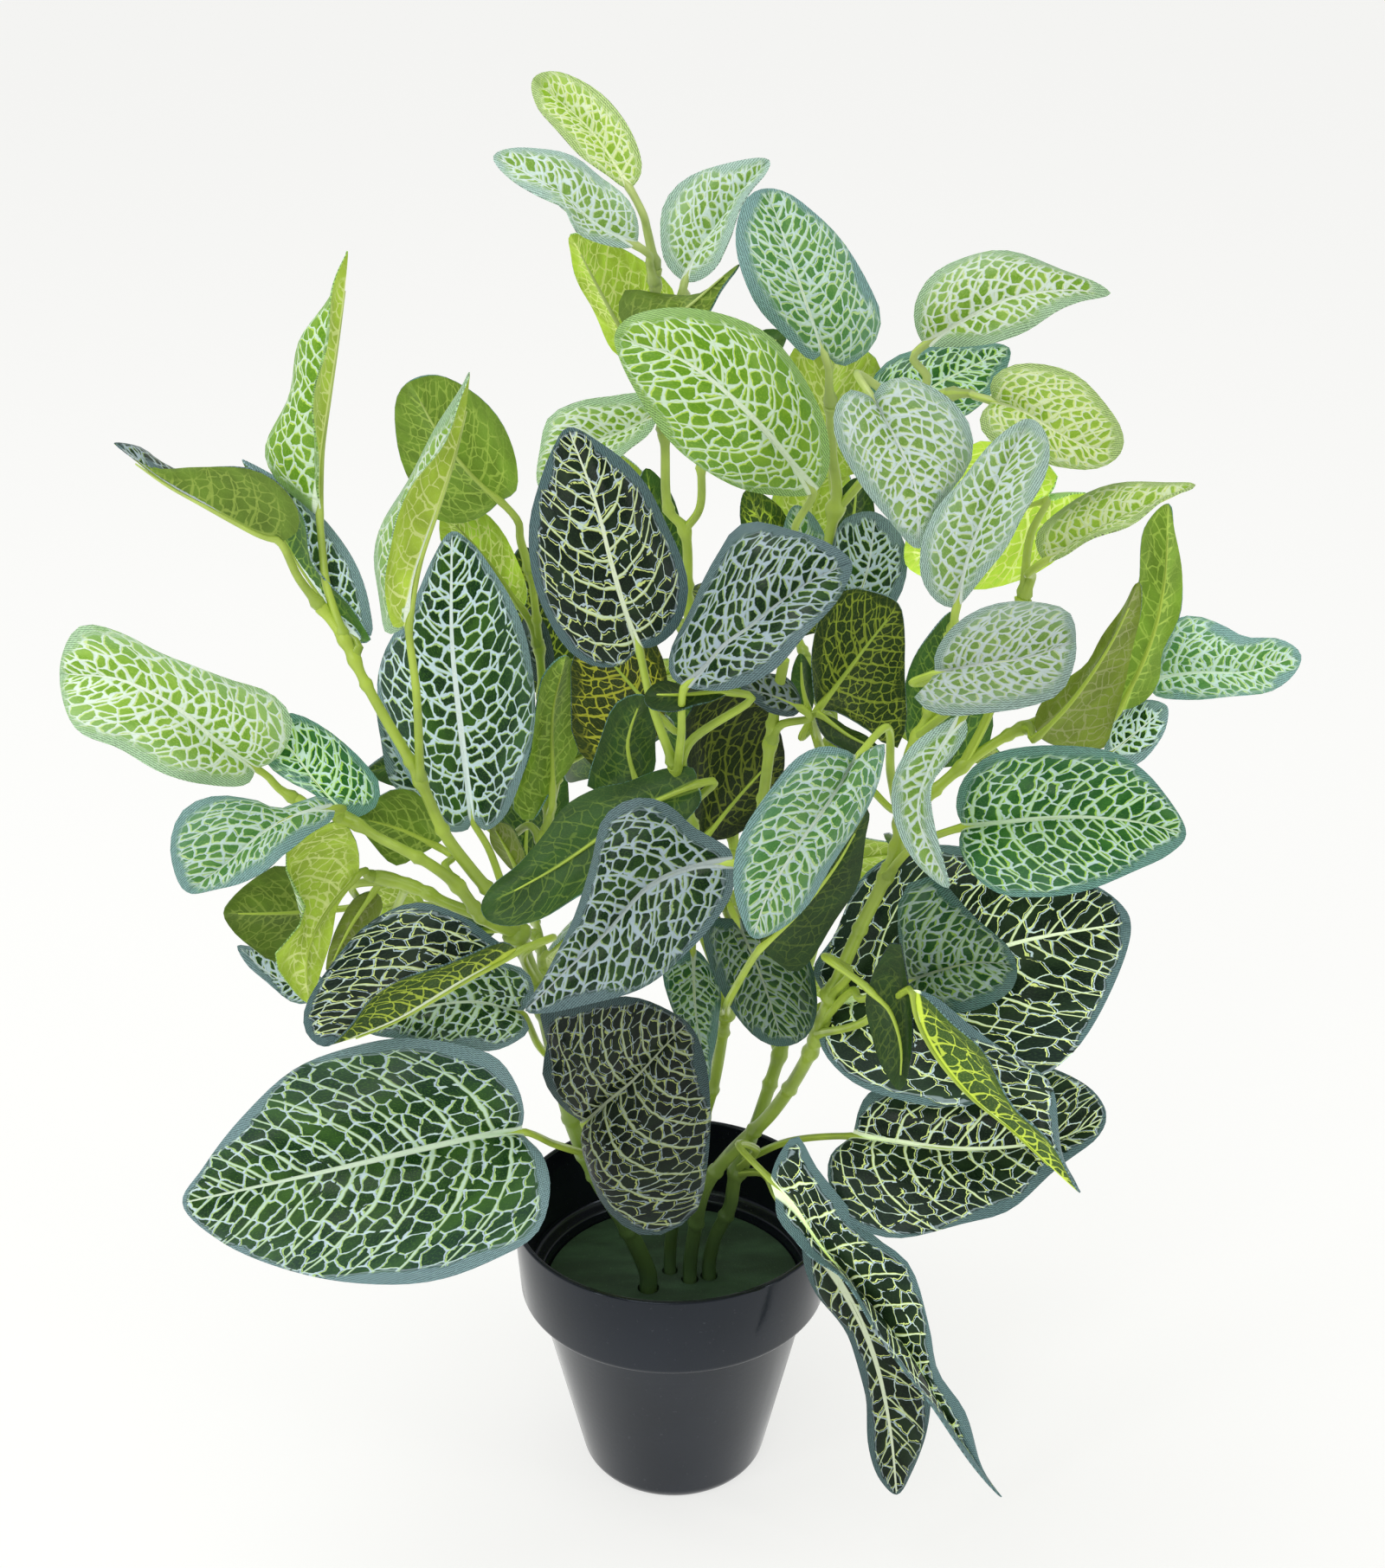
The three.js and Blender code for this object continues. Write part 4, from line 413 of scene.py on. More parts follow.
    ("H1", "middle", "ink", "front", (853, 1352), (-52, -40, 0, 6, -10),
     [(891, 1364), (919, 1395), (946, 1436), (992, 1496), (1052, 1567), (1103, 1655), (1157, 1730)],
     [(903, 1330), (921, 1311), (945, 1352), (1006, 1426), (1050, 1460),
      (1072, 1530), (1082, 1582), (1115, 1632), (1136, 1700)],
     [(896, 1383), (898, 1406), (916, 1432), (936, 1456), (975, 1482), (1030, 1560), (1095, 1658)]),
    ("H2", "middle", "ink", "front", (851, 1358), (-44, -20, 0, 4, 4),
     [(930, 1426), (980, 1500), (1010, 1570), (1028, 1650), (1036, 1727)],
     [(928, 1452), (943, 1498), (984, 1546), (998, 1610), (1004, 1670), (1018, 1710)],
     [(975, 1440), (1040, 1510), (1072, 1580), (1070, 1650), (1053, 1703)]),
)

BACK_TWIGS = (
    ("back_left", "left", "left_inner", (634, 930), (664, 850, 60), 14, 4, 54),
    ("back_low_left", "left", "left", (628, 1170), (612, 1050, 72), 16, 3, 58),
    ("back_middle", "middle", "middle", (900, 1220), (790, 930, 110), 24, 5, 64),
    ("back_high", "middle", "middle", (962, 860), (905, 700, 62), 12, 3, 50),
    ("back_right", "right", "slant", (960, 1150), (1160, 1060, 42), 10, 3, 52),
    ("back_crown", "centre", "crown", (799, 740), (742, 690, 44), 8, 2, 38),
)

# A leaf at the back, as shares of its length.
BACK_WIDTH = 0.66
BACK_DROOP = 0.22

# How light a leaf is against its print's colours: partly the leaf's own lightness, partly painted light and shade,
# with the leaves deep inside the plant, such as C6, D3 and D5, painted darker for the shade they lie in.
PLAIN_TONE = 0.5  # as they are
TONES_AND_PAINTED_SHADE = {
    "B1": 0.57, "B2": 0.56, "B3": 0.58, "C1": 0.32, "C2": 0.27, "C3": 0.35, "C4": 0.33,
    "C5": 0.45, "C6": 0.19, "D1": 0.52, "D2": 0.33, "D3": 0.19, "D4": 0.44, "D5": 0.19,
    "D7": 0.2, "D9": 0.64, "E1": 0.44, "E10": 0.67, "E11": 0.9, "E2": 0.46, "E3": 0.48,
    "E4": 0.46, "E5": 0.55, "E6": 0.9, "E7": 0.48, "E8": 0.6, "E9": 0.24, "F1": 0.35,
    "F2": 0.54, "F3": 0.45, "F4": 0.2, "F5": 0.19, "F6": 0.43, "G1": 0.9, "G2": 0.26,
    "G3": 0.22, "G4": 0.9, "G5": 0.79, "H1": 0.9, "H2": 0.48, "L1": 0.57, "L10": 0.2,
    "L2": 0.33, "L3": 0.67, "L6": 0.7, "L7": 0.65, "L8": 0.53, "L9": 0.19, "T1": 0.53,
    "T10": 0.55, "T2": 0.59, "T3": 0.7, "T4": 0.3, "T5": 0.58, "T8": 0.55, "W1": 0.59,
    "W2": 0.71, "W4": 0.53, "W5": 0.26, "W6": 0.52, "W7": 0.42, "W8": 0.19, "X2": 0.9,
    "X4": 0.29,
}

# What the underside of a leaf looks like, for each print on its face.
UNDERSIDES = {"ink": "olive", "fern": "moss", "ice": "moss", "green": "moss", "mint": "grass", "lime": "sap",
              "cream": "sap", "frost": "sap", "pale": "sap"}
ODD_UNDERSIDES = {"C5": "amber", "H1": "amber", "D4": "olive", "L8": "grass", "L2": "grass", "L4": "grass",
                  "T4": "grass", "E8": "grass", "F4": "moss", "G3": "moss",
                  "W5": "grass", "W7": "grass"}


def srgb(code):
    """A colour written as on a paint card, in the linear values that shaders use."""
    values = [int(code[i:i + 2], 16) / 255 for i in (0, 2, 4)]
    return tuple(v / 12.92 if v <= 0.04045 else ((v + 0.055) / 1.055) ** 2.4 for v in values)


def colour(name, description, code):
    return FloatVectorProperty(
        name=name, description=description, subtype="COLOR", size=3, min=0, max=1, default=srgb(code))


def length(name, description, millimetres):
    return FloatProperty(
        name=name, description=description, unit="LENGTH", subtype="DISTANCE", min=0, default=millimetres * MM)


def share(name, description, value):
    return FloatProperty(name=name, description=description, subtype="FACTOR", min=0, max=1, default=value)


class NervePlantPot(PropertyGroup):
    """Sizes of the pot and its filler."""
    height: length("Height", "From the underside to the rim", 102)
    rim_radius: length("Rim radius", "Outside radius of the rim", 55)
    collar_radius: length("Collar radius", "Outside radius at the collar's lower edge", 52.8)
    collar_height: length("Collar height", "Height of the wide collar", 31)
    body_radius: length("Body radius", "Outside radius just under the collar", 47.5)
    base_radius: length("Base radius", "Outside radius at the foot", 31.8)
    wall: length("Wall", "Thickness of the wall", 1.8)
    floor: length("Floor", "Thickness of the floor", 2.2)
    ledge_radius: length("Ledge radius", "Inside radius of the ledge at the collar's foot", 45.7)


class NervePlantLeaves(PropertyGroup):
    """Sizes of the leaves and their stalks."""
    thickness: length("Thickness", "Thickness of a blade", 0.5)
    fullness: share("Fullness", "How far each half of a blade swells, as a share of its width", 0.12)
    ripple: length("Ripple", "Height of the ripples along the margins", 1.3)
    furrow: length("Furrow", "Depth of the midrib's furrow", 0.7)
    stalk_radius: length("Stalk radius", "Radius of a leaf stalk", 1.25)


# The colours of each print: cells, lighter mottling, first net, second net and margin.
PRINT_COLOURS = {
    "ink": ("the darkest leaves", "0B190E", "24381E", "D6E68A", "BACFD6", "587374"),
    "ice": ("the deep green leaves", "0E3012", "3F6A1E", "B4D482", "C6DCEA", "7F9DA0"),
    "green": ("the green leaves", "1A561A", "3F7D28", "ACDA58", "C8E4E2", "6F9F92"),
    "mint": ("the mint leaves", "47803A", "6E9C4C", "BEDD90", "C6DEE0", "84ACA8"),
    "lime": ("the lime leaves", "619418", "8EB62E", "C6E65E", "D4EAD4", "9CC672"),
    "cream": ("the yellowest leaves", "86AE28", "A9CB48", "DCEA90", "DCEAC6", "B4D084"),
    "frost": ("the frosted leaves", "709E28", "9CC24C", "D2E698", "DCECE4", "AFD2A8"),
    "pale": ("the palest leaves", "719A38", "97BA62", "CFE2A8", "D2E4E6", "ACCABE"),
}
PRINT_PARTS = (("ground", "Cells"), ("light", "Lighter mottling"), ("under", "First net"), ("net", "Second net"),
               ("band", "Margin"))
# The colours of each kind of underside: ground and net.
UNDERSIDE_COLOURS = {
    "olive": ("dark undersides", "2C4616", "B6CA44"),
    "amber": ("browner undersides", "35461A", "CCD040"),
    "moss": ("plain green undersides", "3C6428", "93B446"),
    "grass": ("mid green undersides", "7DA036", "BCD860"),
    "sap": ("light undersides", "AECB42", "E2EE9A"),
}
UNDERSIDE_PARTS = (("ground", "Ground"), ("net", "Net"))


class NervePlantColours(PropertyGroup):
    """Colours of the prints and the plastics."""
    stalk: colour("Stalk", "Fresh stalks and twigs", "B9D24C")
    stem: colour("Stem", "Old stems near the pot", "7C9C3C")
    pot: colour("Pot", "Plastic of the pot", "14171E")
    filler: colour("Filler", "Filler in the pot", "365139")
    floor: colour("Floor", "Surface that the plant stands on", "F4F4F2")


for rows, kinds_of_part in ((PRINT_COLOURS, PRINT_PARTS), (UNDERSIDE_COLOURS, UNDERSIDE_PARTS)):
    for family, (whose, *codes) in rows.items():
        for (key, what), code in zip(kinds_of_part, codes):
            NervePlantColours.__annotations__[f"{family}_{key}"] = colour(
                f"{family.capitalize()} {key}", f"{what} of {whose}", code)


# ---------------------------------------------------------------- shader wiring


def socket_in(tree, value, socket):
    if isinstance(value, bpy.types.NodeSocket):
        tree.links.new(value, socket)
    elif isinstance(value, tuple) and len(value) == 3 and socket.type == "RGBA":
        socket.default_value = (*value, 1)
    else:
        socket.default_value = value


def calc(tree, operation, first, second=0.0, third=0.0):
    """A Math node's result."""
    node = tree.nodes.new("ShaderNodeMath")
    node.operation = operation
    for value, socket in zip((first, second, third), node.inputs):
        socket_in(tree, value, socket)
    return node.outputs[0]


def between(tree, value, low, high, start=0.0, end=1.0):
    """A smooth step of value from low to high."""
    node = tree.nodes.new("ShaderNodeMapRange")
    node.interpolation_type = "SMOOTHSTEP"
    ends = {"Value": value, "From Min": low, "From Max": high, "To Min": start, "To Max": end}
    for key, v in ends.items():
        socket_in(tree, v, node.inputs[key])
    return node.outputs["Result"]


def blend(tree, factor, first, second, mode="MIX"):
    """A colour mixed from two."""
    node = tree.nodes.new("ShaderNodeMix")
    node.data_type = "RGBA"
    node.blend_type = mode
    socket_in(tree, factor, node.inputs[0])
    socket_in(tree, first, node.inputs[6])
    socket_in(tree, second, node.inputs[7])
    return node.outputs[2]


def noise(tree, vector, scale, detail=2.0, roughness=0.5):
    node = tree.nodes.new("ShaderNodeTexNoise")
    tree.links.new(vector, node.inputs["Vector"])
    node.inputs["Scale"].default_value = scale
    node.inputs["Detail"].default_value = detail
    node.inputs["Roughness"].default_value = roughness
    return node.outputs


def cell_edges(tree, vector, jitter):
    """How much nearer a place is to its own cell's centre than to the next one's: 0 on the cells' edges."""
    nearest = []
    for feature in ("F1", "F2"):
        node = tree.nodes.new("ShaderNodeTexVoronoi")
        node.voronoi_dimensions = "2D"
        node.feature = feature
        tree.links.new(vector, node.inputs["Vector"])
        node.inputs["Scale"].default_value = 1
        node.inputs["Randomness"].default_value = jitter
        nearest.append(node.outputs["Distance"])
    return calc(tree, "SUBTRACT", nearest[1], nearest[0])


def spread(tree, vector, by, offset=(0, 0, 0)):
    """The vector scaled and moved."""
    node = tree.nodes.new("ShaderNodeVectorMath")
    node.operation = "MULTIPLY_ADD"
    for value, socket in zip((vector, by, offset), node.inputs):
        socket_in(tree, value, socket)
    return node.outputs[0]


def parts_of(tree, vector):
    node = tree.nodes.new("ShaderNodeSeparateXYZ")
    tree.links.new(vector, node.inputs[0])
    return node.outputs


def joined(tree, x, y, z=0.0):
    node = tree.nodes.new("ShaderNodeCombineXYZ")
    for value, socket in zip((x, y, z), node.inputs):
        socket_in(tree, value, socket)
    return node.outputs[0]


def new_group(name, inputs, outputs):
    """An empty node group with named sockets, its input node and its output node."""
    tree = bpy.data.node_groups.new(name, "ShaderNodeTree")
    for label, kind, default in inputs:
        item = tree.interface.new_socket(label, in_out="INPUT", socket_type=kind)
        if default is not None:
            item.default_value = default
    for label, kind in outputs:
        tree.interface.new_socket(label, in_out="OUTPUT", socket_type=kind)
    return tree, tree.nodes.new("NodeGroupInput"), tree.nodes.new("NodeGroupOutput")


def printed_net():
    """The group that draws a leaf's nets. Net is the leaf's net map, with side veins at whole numbers along X
    and the midrib at Y = 0, in steps of Pitch mm. Mesh runs across and along the side veins, in mm. Leaf holds
    the way to the tip and the way to the margin. Edge is the distance from the margin, and Cell, Line, Vein,
    Shift, Margin and Soft are widths, in mm. Stretch is a cell's length by its width, and Gaps is where the
    lines break off."""
    value, vector = "NodeSocketFloat", "NodeSocketVector"
    tree, given, out = new_group(
        "Printed net",
        [("Net", vector, None), ("Mesh", vector, None), ("Leaf", vector, None), ("Edge", value, 5.0),
         ("Pitch", value, 10.0), ("Cell", value, 4.2), ("Stretch", value, 0.8), ("Line", value, 0.5),
         ("Vein", value, 1.0),
         ("Shift", value, 0.4), ("Margin", value, 3.0), ("Soft", value, 0.3), ("Gaps", value, 0.62)],
        [("Net", value), ("Under", value), ("Veins", value), ("Midrib", value), ("Band", value),
         ("Speckle", value), ("Mottle", value), ("Weave", value), ("Height", value)])
    read = given.outputs
    net, edge, pitch = read["Net"], read["Edge"], read["Pitch"]

    soft = noise(tree, net, 1.3, 1)["Color"]
    fine = noise(tree, net, 6.0, 1)["Color"]
    shift = spread(tree, soft, (0.3, 0.3, 0), (-0.15, -0.15, 0))
    shift = spread(tree, fine, (0.05, 0.05, 0), spread(tree, shift, (1, 1, 0), (-0.025, -0.025, 0)))
    x, y = parts_of(tree, spread(tree, net, (1, 1, 0), shift))[:2]
    plain_y = parts_of(tree, net)[1]
    along, across = parts_of(tree, read["Leaf"])[:2]
    step = calc(tree, "DIVIDE", 1.0, pitch)
    offset = calc(tree, "MULTIPLY", read["Shift"], step)

    # Side veins, thinning towards the margin.
    half = calc(tree, "MULTIPLY", read["Vein"], step)
    half = calc(tree, "MULTIPLY", half, calc(tree, "MULTIPLY_ADD", across, -0.36, 0.62))

    def vein_at(place_x, soft_edge):
        off = calc(tree, "PINGPONG", place_x, 0.5)
        return between(tree, off, calc(tree, "MULTIPLY", half, 0.65), calc(tree, "MULTIPLY", half, soft_edge),
                       1.0, 0.0)

    veins = vein_at(x, 1.2)

    # The net between them: rounded cells with lines of uneven weight and some gaps.
    mesh = read["Mesh"]
    gap = between(tree, noise(tree, net, 3.1, 1)["Fac"], read["Gaps"],
                  calc(tree, "ADD", read["Gaps"], 0.03), 1.0, 0.0)
    size = calc(tree, "MULTIPLY", read["Cell"], calc(tree, "MULTIPLY_ADD", pitch, 0.07, 0.36))
    weight = calc(tree, "MULTIPLY_ADD", noise(tree, net, 2.2, 1)["Fac"], 0.8, 0.6)
    line = calc(tree, "MULTIPLY", calc(tree, "DIVIDE", read["Line"], size), weight)
    line = calc(tree, "MULTIPLY", line, calc(tree, "MULTIPLY_ADD", across, -0.25, 1.1))
    wander = spread(tree, noise(tree, mesh, 0.16, 1)["Color"], (4.0, 4.0, 0), mesh)
    wander = spread(tree, noise(tree, mesh, 0.9, 1)["Color"], (0.7, 0.7, 0), wander)
    mesh_u, mesh_v = parts_of(tree, wander)[:2]
    tall = calc(tree, "MULTIPLY", size, read["Stretch"])

    def lines_at(shift):
        spot = joined(tree, calc(tree, "DIVIDE", calc(tree, "ADD", mesh_u, shift), size),
                      calc(tree, "DIVIDE", calc(tree, "MULTIPLY_ADD", shift, 0.6, mesh_v), tall))
        mask = between(tree, cell_edges(tree, spot, 0.8), calc(tree, "MULTIPLY", line, 0.7),
                       calc(tree, "MULTIPLY", line, 1.3), 1.0, 0.0)
        return calc(tree, "MULTIPLY", mask, gap)

    top = lines_at(0.0)
    under = lines_at(read["Shift"])
    under = calc(tree, "MAXIMUM", under, vein_at(calc(tree, "MULTIPLY_ADD", offset, 0.2, x), 1.9))

    # The midrib, with a flared plate at the base and a fine end.
    rib_half = calc(tree, "ADD", between(tree, along, -0.2, 1.05, 0.14, 0.03),
                    between(tree, along, 0.0, 0.16, 0.16, 0.0))
    midrib = between(tree, calc(tree, "ABSOLUTE", plain_y), calc(tree, "MULTIPLY", rib_half, 0.75),
                     calc(tree, "MULTIPLY", rib_half, 1.1), 1.0, 0.0)

    # The plain band along the margin, with a fine line where the net ends.
    wide = between(tree, noise(tree, net, 0.3, 1)["Fac"], 0.36, 0.64, 0.25, 1.7)
    uneven = calc(tree, "MULTIPLY_ADD", noise(tree, net, 1.6, 3)["Fac"], 3.2, -1.6)
    wide = calc(tree, "MAXIMUM", calc(tree, "MULTIPLY_ADD", read["Margin"], wide, uneven), 0.5)
    from_edge = calc(tree, "SUBTRACT", edge, wide)
    band = between(tree, from_edge, calc(tree, "MULTIPLY", read["Soft"], -1.0), read["Soft"], 1.0, 0.0)
    closing = calc(tree, "ABSOLUTE", calc(tree, "SUBTRACT", from_edge, 0.45))
    closing = between(tree, closing, 0.1, 0.34, 0.4, 0.0)
    inside = calc(tree, "MULTIPLY_ADD", band, -0.8, 1.0)
    top = calc(tree, "MULTIPLY", calc(tree, "MAXIMUM", top, calc(tree, "MULTIPLY", closing, gap)), inside)
    under = calc(tree, "MULTIPLY", under, inside)
    veins = calc(tree, "MULTIPLY", veins, inside)
    past = calc(tree, "MULTIPLY", band, between(tree, along, 0.3, 0.6))
    midrib = calc(tree, "MULTIPLY", midrib, calc(tree, "SUBTRACT", 1.0, past))

    # Fine grain and woven ground, at their own size in mm.
    in_mm = spread(tree, net, joined(tree, pitch, pitch, 1.0))
    grain = noise(tree, in_mm, 2.4, 1)["Fac"]
    speckle = between(tree, grain, 0.54, 0.64)
    mottle = noise(tree, net, 0.8, 3)["Fac"]
    mm_x, mm_y = parts_of(tree, in_mm)[:2]
    warp = calc(tree, "SINE", calc(tree, "MULTIPLY", calc(tree, "ADD", mm_x, mm_y), 5.2))
    weft = calc(tree, "SINE", calc(tree, "MULTIPLY", calc(tree, "SUBTRACT", mm_x, mm_y), 5.2))
    weave = calc(tree, "MULTIPLY_ADD", calc(tree, "MULTIPLY", warp, weft), 0.3, 0.25)
    weave = calc(tree, "MULTIPLY_ADD", grain, 0.5, weave)

    height = calc(tree, "MULTIPLY_ADD", top, 0.4, calc(tree, "MULTIPLY", veins, 0.4))
    height = calc(tree, "MULTIPLY_ADD", midrib, -0.4, height)
    height = calc(tree, "MULTIPLY_ADD", calc(tree, "MULTIPLY", weave, band), 0.3, height)
    height = calc(tree, "MULTIPLY_ADD", grain, 0.15, height)

    for label, socket in (("Net", top), ("Under", under), ("Veins", veins), ("Midrib", midrib), ("Band", band),
                          ("Speckle", speckle), ("Mottle", mottle), ("Weave", weave), ("Height", height)):
        tree.links.new(socket, out.inputs[label])
    return tree


def plastic_grain():
    """The group for the faint unevenness of moulded plastic: a mottle, a fine grain and their height."""
    value = "NodeSocketFloat"
    tree, given, out = new_group(
        "Plastic grain",
        [("Place", "NodeSocketVector", None), ("Mottle size", value, 60.0), ("Grain size", value, 900.0)],
        [("Mottle", value), ("Grain", value), ("Height", value)])
    place_ = given.outputs["Place"]
    scaled = tree.nodes.new("ShaderNodeTexNoise")
    tree.links.new(place_, scaled.inputs["Vector"])
    tree.links.new(given.outputs["Mottle size"], scaled.inputs["Scale"])
    scaled.inputs["Detail"].default_value = 4
    fine = tree.nodes.new("ShaderNodeTexNoise")
    tree.links.new(place_, fine.inputs["Vector"])
    tree.links.new(given.outputs["Grain size"], fine.inputs["Scale"])
    height = calc(tree, "MULTIPLY_ADD", fine.outputs["Fac"], 0.35, scaled.outputs["Fac"])
    tree.links.new(scaled.outputs["Fac"], out.inputs["Mottle"])
    tree.links.new(fine.outputs["Fac"], out.inputs["Grain"])
    tree.links.new(height, out.inputs["Height"])
    return tree


def group_of(name, build):
    return bpy.data.node_groups.get(name) or build()


def new_material(name, roughness):
    """A material with its shader, and the shader node."""
    made = bpy.data.materials.new(name)
    made.use_nodes = True
    shader = next(n for n in made.node_tree.nodes if n.type == "BSDF_PRINCIPLED")
    shader.inputs["Roughness"].default_value = roughness
    return made, made.node_tree, shader


def uv_reading(tree, name):
    node = tree.nodes.new("ShaderNodeUVMap")
    node.uv_map = name
    return node.outputs[0]


def attribute_reading(tree, name):
    node = tree.nodes.new("ShaderNodeAttribute")
    node.attribute_name = name
    return node.outputs["Fac"]


def object_place(tree):
    return tree.nodes.new("ShaderNodeTexCoord").outputs["Object"]


def bump(tree, shader, height, strength, distance):
    node = tree.nodes.new("ShaderNodeBump")
    node.inputs["Strength"].default_value = strength
    node.inputs["Distance"].default_value = distance
    tree.links.new(height, node.inputs["Height"])
    tree.links.new(node.outputs[0], shader.inputs["Normal"])


def net_node(tree, sizes):
    node = tree.nodes.new("ShaderNodeGroup")
    node.node_tree = group_of("Printed net", printed_net)
    tree.links.new(uv_reading(tree, "net"), node.inputs["Net"])
    tree.links.new(uv_reading(tree, "mesh"), node.inputs["Mesh"])
    tree.links.new(uv_reading(tree, "leaf"), node.inputs["Leaf"])
    tree.links.new(attribute_reading(tree, "edge"), node.inputs["Edge"])
    tree.links.new(attribute_reading(tree, "pitch"), node.inputs["Pitch"])
    for key, value in zip(("Cell", "Stretch", "Line", "Vein", "Shift", "Margin", "Soft", "Gaps"), sizes):
        node.inputs[key].default_value = value
    return node


def grain_node(tree, place_, mottle_size, grain_size):
    node = tree.nodes.new("ShaderNodeGroup")
    node.node_tree = group_of("Plastic grain", plastic_grain)
    tree.links.new(place_, node.inputs["Place"])
    node.inputs["Mottle size"].default_value = mottle_size
    node.inputs["Grain size"].default_value = grain_size
    return node.outputs


# The prints: colour family; the net's cell, stretch, line, vein, shift, margin, softness and gaps; how much of
# the second net shows, and of its colour in the veins; how far the margin's colour washes inwards; roughness;
# gloss.
PRINTS = {
    "ink": ("ink", (4.0, 1.5, 0.21, 0.6, 0.5, 2.0, 0.3, 0.62), 0.8, 0.5, 0.05, 0.28, 0.16),
    "fern": ("ice", (3.8, 1.5, 0.34, 0.95, 0.4, 2.4, 0.4, 0.64), 0.78, 0.5, 0.08, 0.28, 0.22),
    "ice": ("ice", (3.4, 1.55, 0.44, 0.85, 0.3, 2.0, 0.5, 0.72), 0.9, 0.9, 0.1, 0.3, 0.2),
    "green": ("green", (3.4, 1.6, 0.34, 0.8, 0.35, 2.0, 0.8, 0.7), 0.84, 0.6, 0.15, 0.3, 0.25),
    "mint": ("mint", (3.2, 1.6, 0.33, 0.8, 0.4, 2.2, 1.0, 0.72), 0.8, 0.75, 0.25, 0.34, 0.25),
    "lime": ("lime", (3.6, 1.5, 0.42, 0.8, 0.35, 1.8, 1.0, 0.72), 0.9, 0.85, 0.15, 0.28, 0.3),
    "cream": ("cream", (3.3, 1.4, 0.36, 0.75, 0.35, 1.6, 1.2, 0.72), 0.85, 0.6, 0.4, 0.32, 0.3),
    "frost": ("frost", (3.3, 1.45, 0.45, 0.8, 0.3, 1.8, 1.4, 0.72), 0.84, 0.8, 0.35, 0.32, 0.3),
    "pale": ("pale", (3.4, 1.35, 0.42, 0.85, 0.3, 1.8, 1.4, 0.74), 0.82, 0.9, 0.4, 0.36, 0.3),
}


def printed_face(colours, kind):
    """The material of a leaf's printed face."""
    family, sizes, show, way, wash, roughness, gloss = PRINTS[kind]
    made, tree, shader = new_material(f"leaf_{kind}", roughness)
    shader.inputs["Specular IOR Level"].default_value = gloss
    masks = net_node(tree, sizes).outputs
    ground, light, under, net, band = (
        tuple(getattr(colours, f"{family}_{part}")) for part in ("ground", "light", "under", "net", "band"))
    base = blend(tree, between(tree, masks["Mottle"], 0.4, 0.75, 0.0, 0.7), ground, light)
    base = blend(tree, calc(tree, "MULTIPLY", masks["Speckle"], 0.6), base, light)
    outward = between(tree, parts_of(tree, uv_reading(tree, "leaf"))[1], 0.35, 1.0, 0.0, wash)
    base = blend(tree, outward, base, band)
    base = blend(tree, calc(tree, "MULTIPLY", masks["Under"], 0.85), base, under)
    base = blend(tree, calc(tree, "MULTIPLY", masks["Net"], show), base, net)
    base = blend(tree, calc(tree, "MULTIPLY", masks["Veins"], 0.95), base, mean_colour(under, net, way))
    cloth = blend(tree, between(tree, masks["Weave"], 0.34, 0.64), times(band, 0.36), times(band, 1.2))
    base = blend(tree, calc(tree, "MULTIPLY", masks["Band"], 0.94), base, cloth)
    rib = mean_colour(mean_colour(under, net, way), (1.0, 1.0, 0.82), 0.3)
    base = blend(tree, masks["Midrib"], base, rib)
    tree.links.new(toned_and_shaded(tree, base), shader.inputs["Base Color"])
    worn = between(tree, masks["Mottle"], 0.35, 0.65, roughness - 0.06, roughness + 0.1)
    tree.links.new(worn, shader.inputs["Roughness"])
    bump(tree, shader, masks["Height"], 0.55, 0.0005)
    return made


def toned_and_shaded(tree, base):
    """The colour made lighter or darker by the leaf's tone, which holds painted shade as well as the leaf's own
    lightness.
    """
    light = blend(tree, attribute_reading(tree, "shade"), (0.0, 0.0, 0.0), (2.0, 2.0, 2.0))
    return blend(tree, 1.0, base, light, "MULTIPLY")


def times(colour_, by):
    return tuple(by * c for c in colour_)


def mean_colour(first, second, way):
    return tuple((1 - way) * a + way * b for a, b in zip(first, second))


# How much of the net shows on each kind of underside.
UNDERSIDE_LOOKS = {"olive": 0.72, "amber": 0.9, "moss": 0.4, "grass": 0.65, "sap": 0.75}


def underside(colours, kind):
    """The material of a leaf's underside: a thin net over plain green."""
    made, tree, shader = new_material(f"underside_{kind}", 0.42)
    shader.inputs["Specular IOR Level"].default_value = 0.25
    masks = net_node(tree, (3.9, 1.4, 0.32, 0.72, 0.3, 2.2, 0.8, 0.66)).outputs
    ground, net = (tuple(getattr(colours, f"{kind}_{part}")) for part in ("ground", "net"))
    base = blend(tree, between(tree, masks["Mottle"], 0.3, 0.75), times(ground, 0.8), times(ground, 1.25))
    base = blend(tree, calc(tree, "MULTIPLY", masks["Speckle"], 0.12), base, net)
    show = UNDERSIDE_LOOKS[kind]
    base = blend(tree, calc(tree, "MULTIPLY", masks["Net"], show), base, net)
    base = blend(tree, calc(tree, "MULTIPLY", masks["Veins"], show), base, net)
    base = blend(tree, calc(tree, "MULTIPLY", masks["Midrib"], 0.9), base, net)
    tree.links.new(toned_and_shaded(tree, base), shader.inputs["Base Color"])
    bump(tree, shader, masks["Height"], 0.3, 0.0003)
    return made


